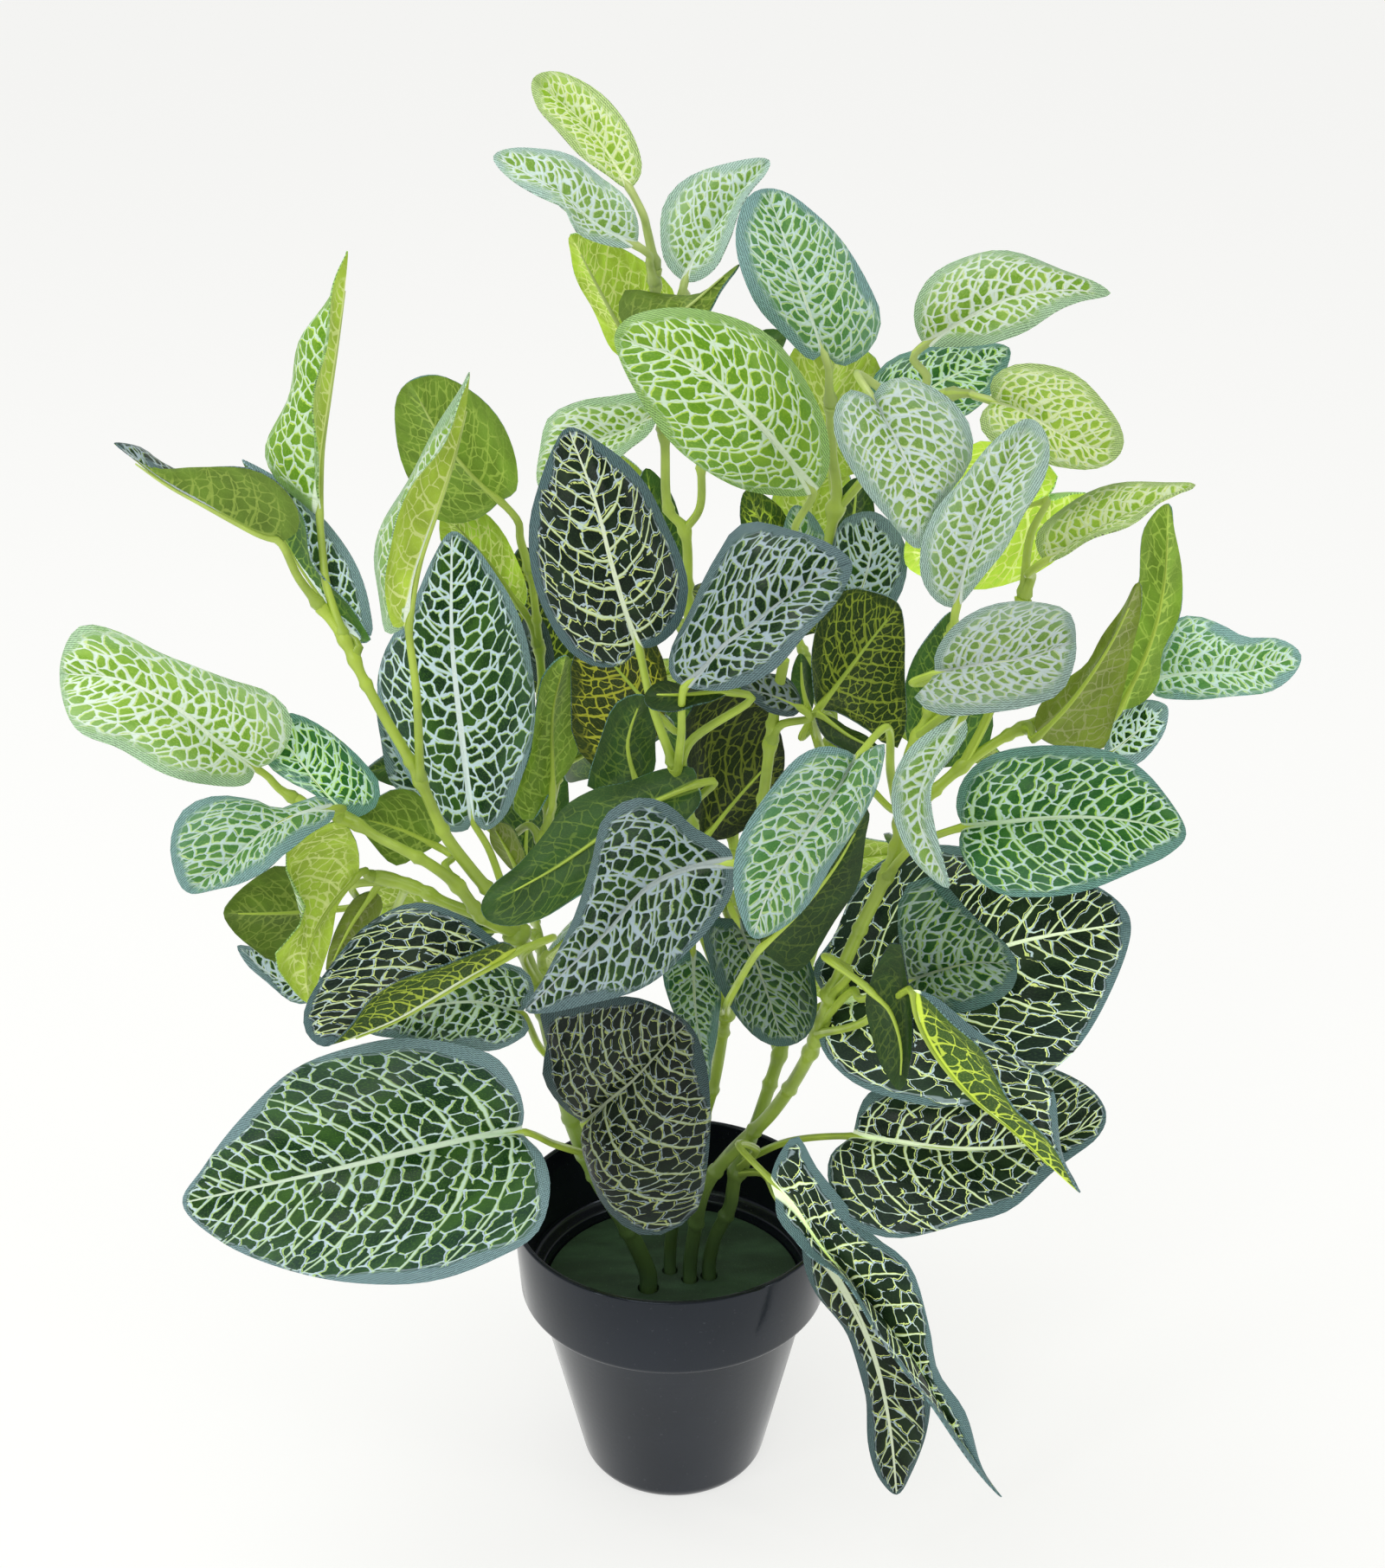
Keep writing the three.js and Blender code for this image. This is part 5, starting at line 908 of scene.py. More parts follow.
def stalk_plastic(colours):
    """Moulded stalks: fresh lime at the leaves, olive on the old stems, with a mould seam, dark streaks and
    painted light paling the stalks at the top of the plant.
    """
    made, tree, shader = new_material("stalk_plastic", 0.34)
    grain = grain_node(tree, object_place(tree), 70, 1500)
    fresh = attribute_reading(tree, "fresh")
    wrap = parts_of(tree, uv_reading(tree, "wrap"))
    height = parts_of(tree, object_place(tree))[2]
    base = blend(tree, fresh, tuple(colours.stem), tuple(colours.stalk))
    # Paler at the top of the plant: painted light, where the top stalks catch the light from above.
    base = blend(tree, between(tree, height, 0.33, 0.42, 0.0, 0.4), base, (0.72, 0.8, 0.45))
    base = blend(tree, between(tree, height, 0.075, 0.17, 0.85, 0.0), base, times(colours.filler, 1.5))
    base = blend(tree, between(tree, grain["Mottle"], 0.35, 0.7, 0.0, 0.35), base, times(colours.stem, 0.55))
    off_seam = calc(tree, "PINGPONG", wrap[1], 0.5)
    seam = between(tree, off_seam, 0.03, 0.07, 1.0, 0.0)
    light_stalk = tuple(min(1, c) for c in times(colours.stalk, 1.25))
    base = blend(tree, calc(tree, "MULTIPLY", seam, 0.45), base, light_stalk)
    streak = calc(tree, "ABSOLUTE", calc(tree, "SUBTRACT", wrap[1], 0.27))
    streak = between(tree, streak, 0.02, 0.06, 1.0, 0.0)
    old = calc(tree, "SUBTRACT", 1.0, fresh)
    patch = between(tree, noise(tree, uv_reading(tree, "wrap"), 0.06, 1)["Fac"], 0.5, 0.6)
    streak = calc(tree, "MULTIPLY", calc(tree, "MULTIPLY", streak, old), patch)
    base = blend(tree, calc(tree, "MULTIPLY", streak, 0.7), base, (0.02, 0.06, 0.015))
    tree.links.new(base, shader.inputs["Base Color"])
    rise = calc(tree, "MULTIPLY_ADD", seam, 0.8, grain["Height"])
    bump(tree, shader, rise, 0.3, 0.0004)
    return made


def pot_plastic(colours):
    made, tree, shader = new_material("pot_gloss", 0.2)
    place_ = object_place(tree)
    grain = grain_node(tree, place_, 26, 700)
    z = parts_of(tree, place_)[2]
    rings = noise(tree, joined(tree, 0.0, 0.0, z), 420, 2)["Fac"]
    smears = noise(tree, spread(tree, place_, (1.0, 1.0, 0.12)), 70, 2)["Fac"]
    shader.inputs["Specular Tint"].default_value = (0.78, 0.88, 1.0, 1)
    shader.inputs["Specular IOR Level"].default_value = 0.38
    base = blend(tree, between(tree, grain["Mottle"], 0.35, 0.7), times(colours.pot, 0.8), times(colours.pot, 1.3))
    dust = between(tree, grain["Grain"], 0.68, 0.76, 0.0, 0.1)
    base = blend(tree, dust, base, (0.2, 0.21, 0.24))
    tree.links.new(base, shader.inputs["Base Color"])
    tree.links.new(between(tree, smears, 0.35, 0.65, 0.09, 0.22), shader.inputs["Roughness"])
    bump(tree, shader, calc(tree, "MULTIPLY_ADD", rings, 0.25, grain["Height"]), 0.12, 0.0004)
    return made


def filler_paint(colours):
    made, tree, shader = new_material("filler_paint", 0.72)
    place_ = object_place(tree)
    grain = grain_node(tree, place_, 40, 1300)
    sweep = noise(tree, spread(tree, place_, (1.0, 3.2, 1.0)), 36, 3)["Fac"]
    base = blend(tree, between(tree, sweep, 0.35, 0.7), times(colours.filler, 0.7), times(colours.filler, 1.35))
    base = blend(tree, between(tree, grain["Mottle"], 0.4, 0.75, 0.0, 0.4), base, times(colours.filler, 0.6))
    base = blend(tree, between(tree, grain["Grain"], 0.64, 0.72, 0.0, 0.3), base, (0.12, 0.2, 0.12))
    tree.links.new(base, shader.inputs["Base Color"])
    bump(tree, shader, grain["Height"], 0.5, 0.0008)
    return made


def floor_paper(colours):
    """A backlit white sheet, as under a product photograph."""
    made, tree, shader = new_material("studio_floor", 0.9)
    shade = noise(tree, object_place(tree), 3.0, 2)["Fac"]
    base = blend(tree, between(tree, shade, 0.3, 0.7, 0.0, 0.06), times(colours.floor, 0.36), (0.34, 0.34, 0.34))
    tree.links.new(base, shader.inputs["Base Color"])
    shader.inputs["Emission Color"].default_value = (*colours.floor, 1)
    shader.inputs["Emission Strength"].default_value = 0.78
    return made


MATERIAL_MAKERS = {
    **{f"leaf_{kind}": (lambda c, k=kind: printed_face(c, k)) for kind in PRINTS},
    **{f"underside_{kind}": (lambda c, k=kind: underside(c, k)) for kind in UNDERSIDE_LOOKS},
    "stalk_plastic": stalk_plastic,
    "pot_gloss": pot_plastic,
    "filler_paint": filler_paint,
    "studio_floor": floor_paper,
}


def material(name):
    """The material of that name, made the first time it is asked for."""
    found = bpy.data.materials.get(name)
    return found or MATERIAL_MAKERS[name](bpy.context.scene.nerve_plant_colours)


# ---------------------------------------------------------------- curves and places


def place(columns, rows, depths):
    """Points in space, in mm, from places in the picture and their depths."""
    columns, rows, depths = (np.asarray(v, float) for v in (columns, rows, depths))
    across = (columns - PICTURE[0] / 2) / FOCAL
    up = (PICTURE[1] / 2 - rows) / FOCAL
    ray_y = math.cos(EYE_PITCH) + up * math.sin(EYE_PITCH)
    ray_z = up * math.cos(EYE_PITCH) - math.sin(EYE_PITCH)
    reach = (depths - EYE[1]) / ray_y
    return np.stack([EYE[0] + across * reach, EYE[1] + ray_y * reach, EYE[2] + ray_z * reach], -1)


def picture_of(points):
    away = points - EYE
    along = away[:, 1] * math.cos(EYE_PITCH) - away[:, 2] * math.sin(EYE_PITCH)
    up = away[:, 1] * math.sin(EYE_PITCH) + away[:, 2] * math.cos(EYE_PITCH)
    return np.stack([PICTURE[0] / 2 + FOCAL * away[:, 0] / along, PICTURE[1] / 2 - FOCAL * up / along], -1)


class Course:
    """A smooth curve through points, walked evenly by its length, from 0 to 1."""

    def __init__(self, points, before=None, after=None):
        knots = np.array(points, float)
        before = 2 * knots[0] - knots[1] if before is None else before
        after = 2 * knots[-1] - knots[-2] if after is None else after
        self.knots = np.vstack([before, knots, after])
        self.ticks = np.linspace(0, 1, 201)
        trail = self.at_tick(self.ticks)
        self.run = np.concatenate([[0], np.cumsum(np.linalg.norm(np.diff(trail, axis=0), axis=1))])
        self.length = self.run[-1]

    def at_tick(self, ticks):
        spans = len(self.knots) - 3
        reach = np.clip(np.asarray(ticks, float), 0, 1) * spans
        first = np.minimum(reach.astype(int), spans - 1)
        t = (reach - first)[:, None]
        p0, p1, p2, p3 = (self.knots[first + k] for k in range(4))
        d0, d1, d2 = (np.sqrt(np.linalg.norm(b - a, axis=1))[:, None]
                      for a, b in ((p0, p1), (p1, p2), (p2, p3)))
        d1 = np.where(d1 < 1e-4, 1, d1)
        d0 = np.where(d0 < 1e-4, d1, d0)
        d2 = np.where(d2 < 1e-4, d1, d2)
        m1 = ((p1 - p0) / d0 - (p2 - p0) / (d0 + d1) + (p2 - p1) / d1) * d1
        m2 = ((p2 - p1) / d1 - (p3 - p1) / (d1 + d2) + (p3 - p2) / d2) * d1
        return p1 + m1 * t + (3 * p2 - 3 * p1 - 2 * m1 - m2) * t ** 2 + (2 * p1 - 2 * p2 + m1 + m2) * t ** 3

    def at(self, shares):
        shares = np.atleast_1d(shares)
        return self.at_tick(np.interp(shares * self.length, self.run, self.ticks))

    def along(self, share_):
        ends = self.at(np.clip([share_ - 1e-3, share_ + 1e-3], 0, 1))
        return unit(ends[1] - ends[0])


def unit(vector):
    vector = np.asarray(vector, float)
    size = np.linalg.norm(vector, axis=-1, keepdims=True)
    return vector / np.where(size < 1e-9, 1, size)


def nearest_on(course, column, row):
    """The point of a curve that shows nearest to a place in the picture, and the curve's direction there."""
    shares = np.linspace(0, 1, 201)
    points = course.at(shares)
    best = int(np.argmin(np.linalg.norm(picture_of(points) - (column, row), axis=1)))
    return points[best], course.along(shares[best]), shares[best]


def branch_courses():
    courses = {}
    for name, stem, parent, radii, points in BRANCHES:
        radii = tuple(SLIMMER * radius for radius in radii)
        spots = place(*zip(*points))
        if parent:
            spots[0] = nearest_on(courses[parent][0], *points[0][:2])[0]
        else:
            x, y = spots[0][:2]
            spots[0][2] = FILLER_TOP + 5
            foot = [(x, y, FILLER_TOP - k * (HOLE_DEPTH - 1)) for k in (1, 0.5, 0)]
            spots = np.vstack([foot, spots])
        courses[name] = (Course(spots), stem, parent, radii)
    for name, stem, parent, start, end, bulge, count, length_ in BACK_TWIGS:
        root = nearest_on(courses[parent][0], *start)[0]
        tip = place(*end)
        middle = (root + tip) / 2 + (0, bulge, 0)
        courses[name] = (Course([root, middle, tip]), stem, parent, (1.9, 1.2))
    return courses


# ---------------------------------------------------------------- meshes


class Shell:
    """Gathers vertices and faces with their maps, and makes one mesh piece of them."""

    def __init__(self, maps, values):
        self.points, self.faces, self.slots = [], [], []
        self.maps = {name: [] for name in maps}
        self.values = {name: [] for name in values}
        self.slot_names = []

    def slot(self, name):
        if name not in self.slot_names:
            self.slot_names.append(name)
        return self.slot_names.index(name)

    def add(self, points, faces, slot_name, maps, values):
        """maps give one pair of numbers for each corner of each face, values one number for each vertex."""
        start = sum(len(p) for p in self.points)
        self.points.append(np.asarray(points, float))
        self.faces += [tuple(start + i for i in face) for face in faces]
        self.slots += [self.slot(slot_name)] * len(faces)
        for name, rows in maps.items():
            self.maps[name] += rows
        for name, row in values.items():
            self.values[name].append(np.broadcast_to(row, (len(points),)))

    def piece(self, name, node, slot_label, angle=40):
        mesh = bpy.data.meshes.new(name)
        mesh.from_pydata(np.clip(np.vstack(self.points) * MM, *CAD_BOX), [], self.faces)
        for map_name, rows in self.maps.items():
            layer = mesh.uv_layers.new(name=map_name)
            layer.data.foreach_set("uv", np.asarray(rows, np.float32).ravel())
        for value_name, rows in self.values.items():
            layer = mesh.attributes.new(value_name, "FLOAT", "POINT")
            layer.data.foreach_set("value", np.concatenate(rows).astype(np.float32))
        for slot_name in self.slot_names:
            mesh.materials.append(material(slot_name))
        mesh.polygons.foreach_set("material_index", self.slots)
        mesh.update()
        made = bpy.data.objects.new(name, mesh)
        bpy.context.scene.collection.objects.link(made)
        smooth(made, angle)
        return hand_in(made, node)


def smooth(piece, angle):
    bpy.ops.object.select_all(action="DESELECT")
    piece.select_set(True)
    bpy.context.view_layer.objects.active = piece
    bpy.ops.object.shade_smooth_by_angle(angle=math.radians(angle))
    piece.select_set(False)


def hand_in(piece, node):
    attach(piece, "root")
    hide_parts(node)
    return piece


def measured_lines(row, shares):
    """The midrib, left margin and right margin of a measured leaf at the given shares of the way."""
    seen, (depth, lean, bow, out_a, out_b), rib, a, b = row[3], row[5], row[6], row[7], row[8]
    base, tip = rib[0], rib[-1]
    rib_depth = depth + lean * shares + bow * 4 * shares * (1 - shares)

    def line(points, extra, before=None, after=None):
        spots = Course(points, before, after).at(shares)
        return place(spots[:, 0], spots[:, 1], rib_depth + extra * np.sin(np.pi * shares))

    run = (tip[0] - base[0], tip[1] - base[1])
    wide = np.mean(a, axis=0) - np.mean(b, axis=0)
    side = run[0] * wide[1] - run[1] * wide[0]
    margins = [line([base, *a, tip], out_a, b[0], b[-1]), line([base, *b, tip], out_b, a[0], a[-1])]
    if (side < 0) != (seen == "front"):
        margins.reverse()
    return line(rib, 0), margins[0], margins[1]


def plain_lines(base, ahead, leftward, length_, shares):
    """The same for a leaf of plain form."""
    up = unit(np.cross(ahead, leftward))
    rib = base + np.outer(shares, ahead) * length_ - np.outer(shares ** 2, up) * length_ * BACK_DROOP
    half = (0.5 * BACK_WIDTH * length_ * np.sin(np.pi * shares ** 0.82).clip(0) ** 0.8)[:, None]
    return rib, rib + half * leftward - 0.12 * half * up, rib - half * leftward - 0.12 * half * up


def leaf_blade(shell, lines, face_name, under_name, seed, tone_and_shade):
    """A blade with a swollen half to each side of its furrowed midrib, rippled margins, two faces and a rim."""
    sizes = bpy.context.scene.nerve_plant_leaves
    dice = random.Random(seed)
    rough = lines(np.linspace(0, 1, 25))
    long_ = np.linalg.norm(np.diff(rough[0], axis=0), axis=1).sum()
    wide = max(np.linalg.norm(margin - rough[0], axis=1).max() for margin in rough[1:])
    rows = int(np.clip(long_ / BLADE_STEP, 14, 40))
    side = int(np.clip(wide / BLADE_STEP, 5, 12))
    shares = 0.5 - 0.5 * np.cos(np.pi * np.arange(rows + 1) / rows)
    shares = 0.55 * shares + 0.45 * np.linspace(0, 1, rows + 1)
    rib, left, right = lines(shares)
    ways = np.sin(0.5 * np.pi * np.arange(-side, side + 1) / side)
    margin = np.where((ways > 0)[None, :, None], left[:, None], right[:, None])
    across = np.abs(ways)[None, :, None]
    grid = rib[:, None] * (1 - across) + margin * across

    # The swelling stands on each half's own normal, and eases from one half to the other at the midrib.
    run = unit(np.gradient(rib, axis=0))
    left_up = unit(np.cross(run, left - rib))
    right_up = unit(np.cross(run, rib - right))
    lean = (0.5 + 0.5 * np.clip(ways * 3, -1, 1))[None, :, None]
    up = unit(left_up[:, None] * lean + right_up[:, None] * (1 - lean))
    half = np.where(ways[None, :] > 0, np.linalg.norm(left - rib, axis=1)[:, None],
                    np.linalg.norm(right - rib, axis=1)[:, None])
    way = np.abs(ways)[None, :]
    fade = np.sin(np.pi * shares)[:, None] ** 0.5
    swell = sizes.fullness * half * 4 * way * (1 - way) * (1.15 - way * 0.5)
    furrow = -sizes.furrow / MM * np.exp(-(way * half / 1.6) ** 2) * fade
    beat, turn = dice.uniform(1.6, 2.6), dice.uniform(0, 6.28)
    sign = np.sign(ways)[None, :]
    ripple = sizes.ripple / MM * way ** 3 * fade * np.sin(
        2 * np.pi * beat * shares[:, None] + turn + sign * 1.1) * min(1, long_ / 70)
    grid = grid + up * (swell * min(1, wide / 12) + furrow + ripple)[:, :, None]

    # Maps: side veins at whole numbers along the first number, 0 at the midrib along the second.
    pitch = float(np.clip(long_ / 8.5, 5.0, 11.5))
    walked = np.concatenate([[0], np.cumsum(np.linalg.norm(np.diff(rib, axis=0), axis=1))])[:, None]
    off_rib = way * half
    forward = (0.5 + 0.65 * shares[:, None] + 0.28 * way) * min(1, 0.45 * long_ / wide)
    net_x = (walked - forward * off_rib) / pitch + 20 * (seed % 40) + 0.15
    net_y = off_rib / pitch
    swept = off_rib * (1 + 0.25 * way)
    mesh_u = walked * math.sin(NET_SLANT) - swept * math.cos(NET_SLANT) + 60 * (seed % 40)
    mesh_v = walked * math.cos(NET_SLANT) + swept * math.sin(NET_SLANT)
    outline = np.vstack([left, right[::-1]])
    flat = grid.reshape(-1, 3)
    ahead = np.roll(outline, -1, axis=0) - outline
    squared = np.maximum((ahead ** 2).sum(1), 1e-9)
    where = np.clip(((flat[:, None] - outline[None]) * ahead[None]).sum(2) / squared, 0, 1)
    edge = np.linalg.norm(flat[:, None] - (outline[None] + where[:, :, None] * ahead[None]), axis=2).min(1)

    count = 2 * side + 1
    total = grid.shape[0] * count
    d_row = np.gradient(grid, axis=0)
    d_col = np.gradient(grid, axis=1)
    normal = np.cross(d_row, d_col)
    normal[0], normal[-1] = normal[1], normal[-2]
    normal = unit(normal)
    thick = sizes.thickness / MM / 2
    upper, lower = grid + normal * thick, grid - normal * thick
    cell = lambda r, c: r * count + c
    faces, under_faces, corners, under_corners = [], [], [], []
    for r in range(rows):
        for c in range(count - 1):
            quad = [(r, c), (r + 1, c), (r + 1, c + 1), (r, c + 1)]
            if r == 0:
                quad = [(r, side), (r + 1, c), (r + 1, c + 1)]
            if r == rows - 1:
                quad = [(r, c), (r + 1, side), (r, c + 1)]
            on_left = c >= side
            faces.append([cell(*q) for q in quad])
            corners.append([(q, on_left) for q in quad])
            under_faces.append([total + cell(*q) for q in reversed(quad)])
            under_corners.append([(q, on_left) for q in reversed(quad)])
    border = [(0, side)] + [(r, 0) for r in range(1, rows)] + [(rows, side)]
    border += [(r, count - 1) for r in range(rows - 1, 0, -1)]
    rim, rim_corners = [], []
    for first, second in zip(border, border[1:] + border[:1]):
        rim.append([cell(*first), total + cell(*first), total + cell(*second), cell(*second)])
        on_left = first[1] > side or second[1] > side
        rim_corners.append([(first, on_left), (first, on_left), (second, on_left), (second, on_left)])

    def maps_for(corner_rows):
        net, mesh, leaf = [], [], []
        for row in corner_rows:
            for (r, c), on_left in row:
                net.append((net_x[r, c] + (0.35 if on_left else 0), net_y[r, c] * (1 if on_left else -1)))
                mesh.append((mesh_u[r, c], mesh_v[r, c] + (200 if on_left else 0)))
                leaf.append((shares[r], way[0, c]))
        return {"net": net, "mesh": mesh, "leaf": leaf}

    points = np.vstack([upper.reshape(-1, 3), lower.reshape(-1, 3)])
    used = sorted({i for face in faces + under_faces + rim for i in face})
    new_index = {old: new for new, old in enumerate(used)}
    renumber = lambda some: [[new_index[i] for i in face] for face in some]
    # The shade attribute carries the leaf's tone, painted shade included.
    values = {"edge": np.concatenate([edge, edge])[used], "pitch": pitch, "shade": tone_and_shade}
    start = sum(len(p) for p in shell.points)
    shell.add(points[used], renumber(faces), face_name, maps_for(corners), values)
    for more, name, rows_ in ((under_faces, under_name, under_corners), (rim, face_name, rim_corners)):
        maps = maps_for(rows_)
        shell.faces += [tuple(start + i for i in face) for face in renumber(more)]
        shell.slots += [shell.slot(name)] * len(more)
        for key, row in maps.items():
            shell.maps[key] += row


def tube(shell, points, radii, sides, fresh):
    """A round rod through points, with its own radius at each, closed by domed ends."""
    points = np.asarray(points, float)
    run = unit(np.gradient(points, axis=0))
    across = unit(np.cross(run[0], (0.3, 0.2, 1.0) if abs(run[0][2]) < 0.9 else (1.0, 0.3, 0)))
    rings = []
    for i in range(len(points)):
        across = unit(across - run[i] * (across @ run[i]))
        beside = np.cross(run[i], across)
        turn = 2 * np.pi * np.arange(sides) / sides
        rings.append(points[i] + radii[i] * (np.outer(np.cos(turn), across) + np.outer(np.sin(turn), beside)))
    verts = np.vstack(rings + [points[:1] - run[:1] * radii[0] * 0.4, points[-1:] + run[-1:] * radii[-1] * 0.5])
    walked = np.concatenate([[0], np.cumsum(np.linalg.norm(np.diff(points, axis=0), axis=1))])
    faces, wrap = [], []
    for i in range(len(points) - 1):
        for k in range(sides):
            j = (k + 1) % sides
            faces.append([i * sides + k, i * sides + j, (i + 1) * sides + j, (i + 1) * sides + k])
            wrap += [(walked[i], k / sides), (walked[i], (k + 1) / sides),
                     (walked[i + 1], (k + 1) / sides), (walked[i + 1], k / sides)]
    head, tail = len(points) * sides, len(points) * sides + 1
    last = (len(points) - 1) * sides
    for k in range(sides):
        j = (k + 1) % sides
        faces.append([head, j, k])
        wrap += [(0, (k + 0.5) / sides), (0, (k + 1) / sides), (0, k / sides)]
        faces.append([tail, last + k, last + j])
        wrap += [(walked[-1], (k + 0.5) / sides), (walked[-1], k / sides), (walked[-1], (k + 1) / sides)]
    fresh = np.broadcast_to(fresh, (len(points),))
    values = np.concatenate([np.repeat(fresh, sides), fresh[:1], fresh[-1:]])
    shell.add(verts, faces, "stalk_plastic", {"wrap": wrap}, {"fresh": values})


def stalk(shell, root, along, lines, way):
    """A leaf stalk: a plug on its twig, a bend up to the blade, and a rib that runs on under the blade."""
    radius = bpy.context.scene.nerve_plant_leaves.stalk_radius / MM
    near = lines(np.array([0, 0.045, 0.1, 0.25, 0.45, 0.65, 0.85]))[0]
    left, right = lines(np.array([0.1, 0.25, 0.45, 0.65, 0.85]))[1:]
    base = near[0]
    inward = unit(near[2] - base)
    span = np.linalg.norm(base - root)
    if way is not None:
        bends = [way]
    else:
        first = root + along * 0.22 * span
        second = base - inward * 0.25 * span
        bends = [first + (base - first) * 0.3, second + (root - second) * 0.1]
    down = -unit(np.cross(unit(near[3] - near[2]), left[0] - right[0]))
    sink = bpy.context.scene.nerve_plant_leaves.furrow / MM + 0.25
    under = [p + down * (sink * min(1, 0.7 + 0.3 * i)) for i, p in enumerate(near[1:])]
    course = Course([root, *bends, base + down * 0.1, *under])
    to_base = course.length - np.linalg.norm(np.diff(near, axis=0), axis=1).sum()
    count = int(np.clip(course.length / 2.2, 14, 60))
    shares = np.linspace(0, 1, count)
    walked = shares * course.length
    radii = radius * np.interp(walked, [0, to_base, to_base + 4, course.length], [1.15, 0.85, 0.62, 0.2])
    radii = radii + radius * 0.75 * np.exp(-((walked - 1.8) / 1.9) ** 2)
    radii = radii + radius * 0.18 * np.exp(-((walked - to_base) / 2.2) ** 2)
    fresh = np.interp(walked, [0, 12, course.length], [0.55, 0.9, 1])
    tube(shell, course.at(shares), radii, STALK_SIDES, fresh)


def twig(shell, course, radii, forks, foot):
    """A stem or twig with a swollen ring at each fork and at even steps between them."""
    count = int(np.clip(course.length / 1.2, 14, 420))
    shares = np.linspace(0, 1, count)
    points = course.at(shares)
    walked = shares * course.length
    rings = radii[0] + (radii[1] - radii[0]) * shares
    clear = np.clip((points[:, 2] - FILLER_TOP - 4) / 10, 0, 1)
    for fork in forks:
        rings = rings + FORK_RISE * clear * np.exp(-((walked - fork * course.length) / FORK_REACH) ** 2)
    for step in np.arange(foot + 22, course.length - 6, RING_STEP):
        rings = rings + RING_RISE * clear * np.exp(-((walked - step) / RING_REACH) ** 2)
    fresh = 0.2 + 0.6 * np.clip((points[:, 2] - 90) / 220, 0, 1) + (0.15 if rings.mean() < 2.4 else 0)
    tube(shell, points, rings, STEM_SIDES, np.clip(fresh, 0, 1))


def back_leaves(twig_row, course):
    """The leaves of a twig at the back: root, direction of the twig there and the leaf's lines."""
    count, length_ = twig_row[6:]
    for i in range(count):
        at = 0.3 + 0.69 * i / (count - 1)
        is_last = i == count - 1
        root = course.at(at)[0]
        outward = unit((root[0], root[1] + 30, 0))
        aside = np.array((-outward[1], outward[0], 0)) * (1 if i % 2 else -1)
        ahead = aside * (0.15 if is_last else 0.8) + outward * 0.3
        ahead[2] = 0.9 if is_last else 0.15 * (i % 3)
        ahead = unit(ahead)
        facing = outward * 0.8 + (0, 0, 0.5)
        leftward = unit(np.cross(facing, ahead))
        base = root + ahead * 12 + outward * 5
        own = length_ * (1 - 0.06 * (i % 3))
        yield root, course.along(at), (lambda s, b=base, a=ahead, l=leftward, o=own: plain_lines(b, a, l, o, s))


# ---------------------------------------------------------------- operators


class NERVE_PLANT_OT_stems(Operator):
    """Model the four stems with their twigs and leaf stalks"""
    bl_idname = "nerve_plant.stems"
    bl_label = "Stems and stalks"

    def execute(self, context):
        courses = branch_courses()
        shells = {}
        forks = {name: [] for name in courses}
        for name, (course, stem, parent, radii) in courses.items():
            if parent:
                spot = picture_of(course.at(0))[0]
                forks[parent].append(nearest_on(courses[parent][0], *spot)[2])
        stalks = []
        for row in LEAVES:
            course, stem = courses[row[1]][:2]
            root, along, at = nearest_on(course, *row[4])
            forks[row[1]].append(at)
            way = place(*row[9]) if len(row) > 9 else None
            stalks.append((stem, root, along, lambda s, r=row: measured_lines(r, s), way))
        for row in BACK_TWIGS:
            for root, along, lines in back_leaves(row, courses[row[0]][0]):
                stalks.append((row[1], root, along, lines, None))
        for name, (course, stem, parent, radii) in courses.items():
            shell = shells.setdefault(stem, Shell(["wrap"], ["fresh"]))
            twig(shell, course, radii, forks[name], 0 if parent else 30)
        for stem, root, along, lines, way in stalks:
            stalk(shells[stem], root, along, lines, way)
        for stem, shell in shells.items():
            shell.piece(f"stems_{stem}", f"stem_{stem}", "leaf_stem", 60)
        return {"FINISHED"}


class NERVE_PLANT_OT_leaves(Operator):
    """Model the printed leaves, one piece for the leaves of each twig"""
    bl_idname = "nerve_plant.leaves"
    bl_label = "Printed leaves"

    def execute(self, context):
        courses = branch_courses()
        shells = {}
        for number, row in enumerate(LEAVES):
            shell = shells.setdefault(row[1], Shell(["net", "mesh", "leaf"], ["edge", "pitch", "shade"]))
            under = ODD_UNDERSIDES.get(row[0], UNDERSIDES[row[2]])
            # Each measured leaf's tone, taken from the table, holds painted shade as well as its own lightness.
            leaf_blade(shell, lambda s, r=row: measured_lines(r, s), f"leaf_{row[2]}", f"underside_{under}",
                       number + 1, TONES_AND_PAINTED_SHADE.get(row[0], PLAIN_TONE))
        kinds = ("green", "ice", "lime", "ink", "pale")
        number = 100
        for row in BACK_TWIGS:
            for root, along, lines in back_leaves(row, courses[row[0]][0]):
                kind = kinds[number % 5]
                shell = shells.setdefault(row[0], Shell(["net", "mesh", "leaf"], ["edge", "pitch", "shade"]))
                leaf_blade(shell, lines, f"leaf_{kind}", f"underside_{UNDERSIDES[kind]}", number,
                           0.46 + 0.02 * (number % 5))
                number += 1
        for name, shell in shells.items():
            stem = courses[name][1]
            shell.piece(f"leaves_{name}", f"stem_{stem}", "leaf_stem", 50)
        return {"FINISHED"}


def start_mesh(name, points):
    """A new edit-mode mesh of one open line of points in the XZ plane, all selected."""
    bpy.ops.object.select_all(action="DESELECT")
    mesh = bpy.data.meshes.new(name)
    mesh.from_pydata([(r, 0, z) for r, z in points], [(i, i + 1) for i in range(len(points) - 1)], [])
    made = bpy.data.objects.new(name, mesh)
    bpy.context.scene.collection.objects.link(made)
    made.select_set(True)
    bpy.context.view_layer.objects.active = made
    bpy.ops.object.mode_set(mode="EDIT")
    bpy.ops.mesh.select_all(action="SELECT")
    return made


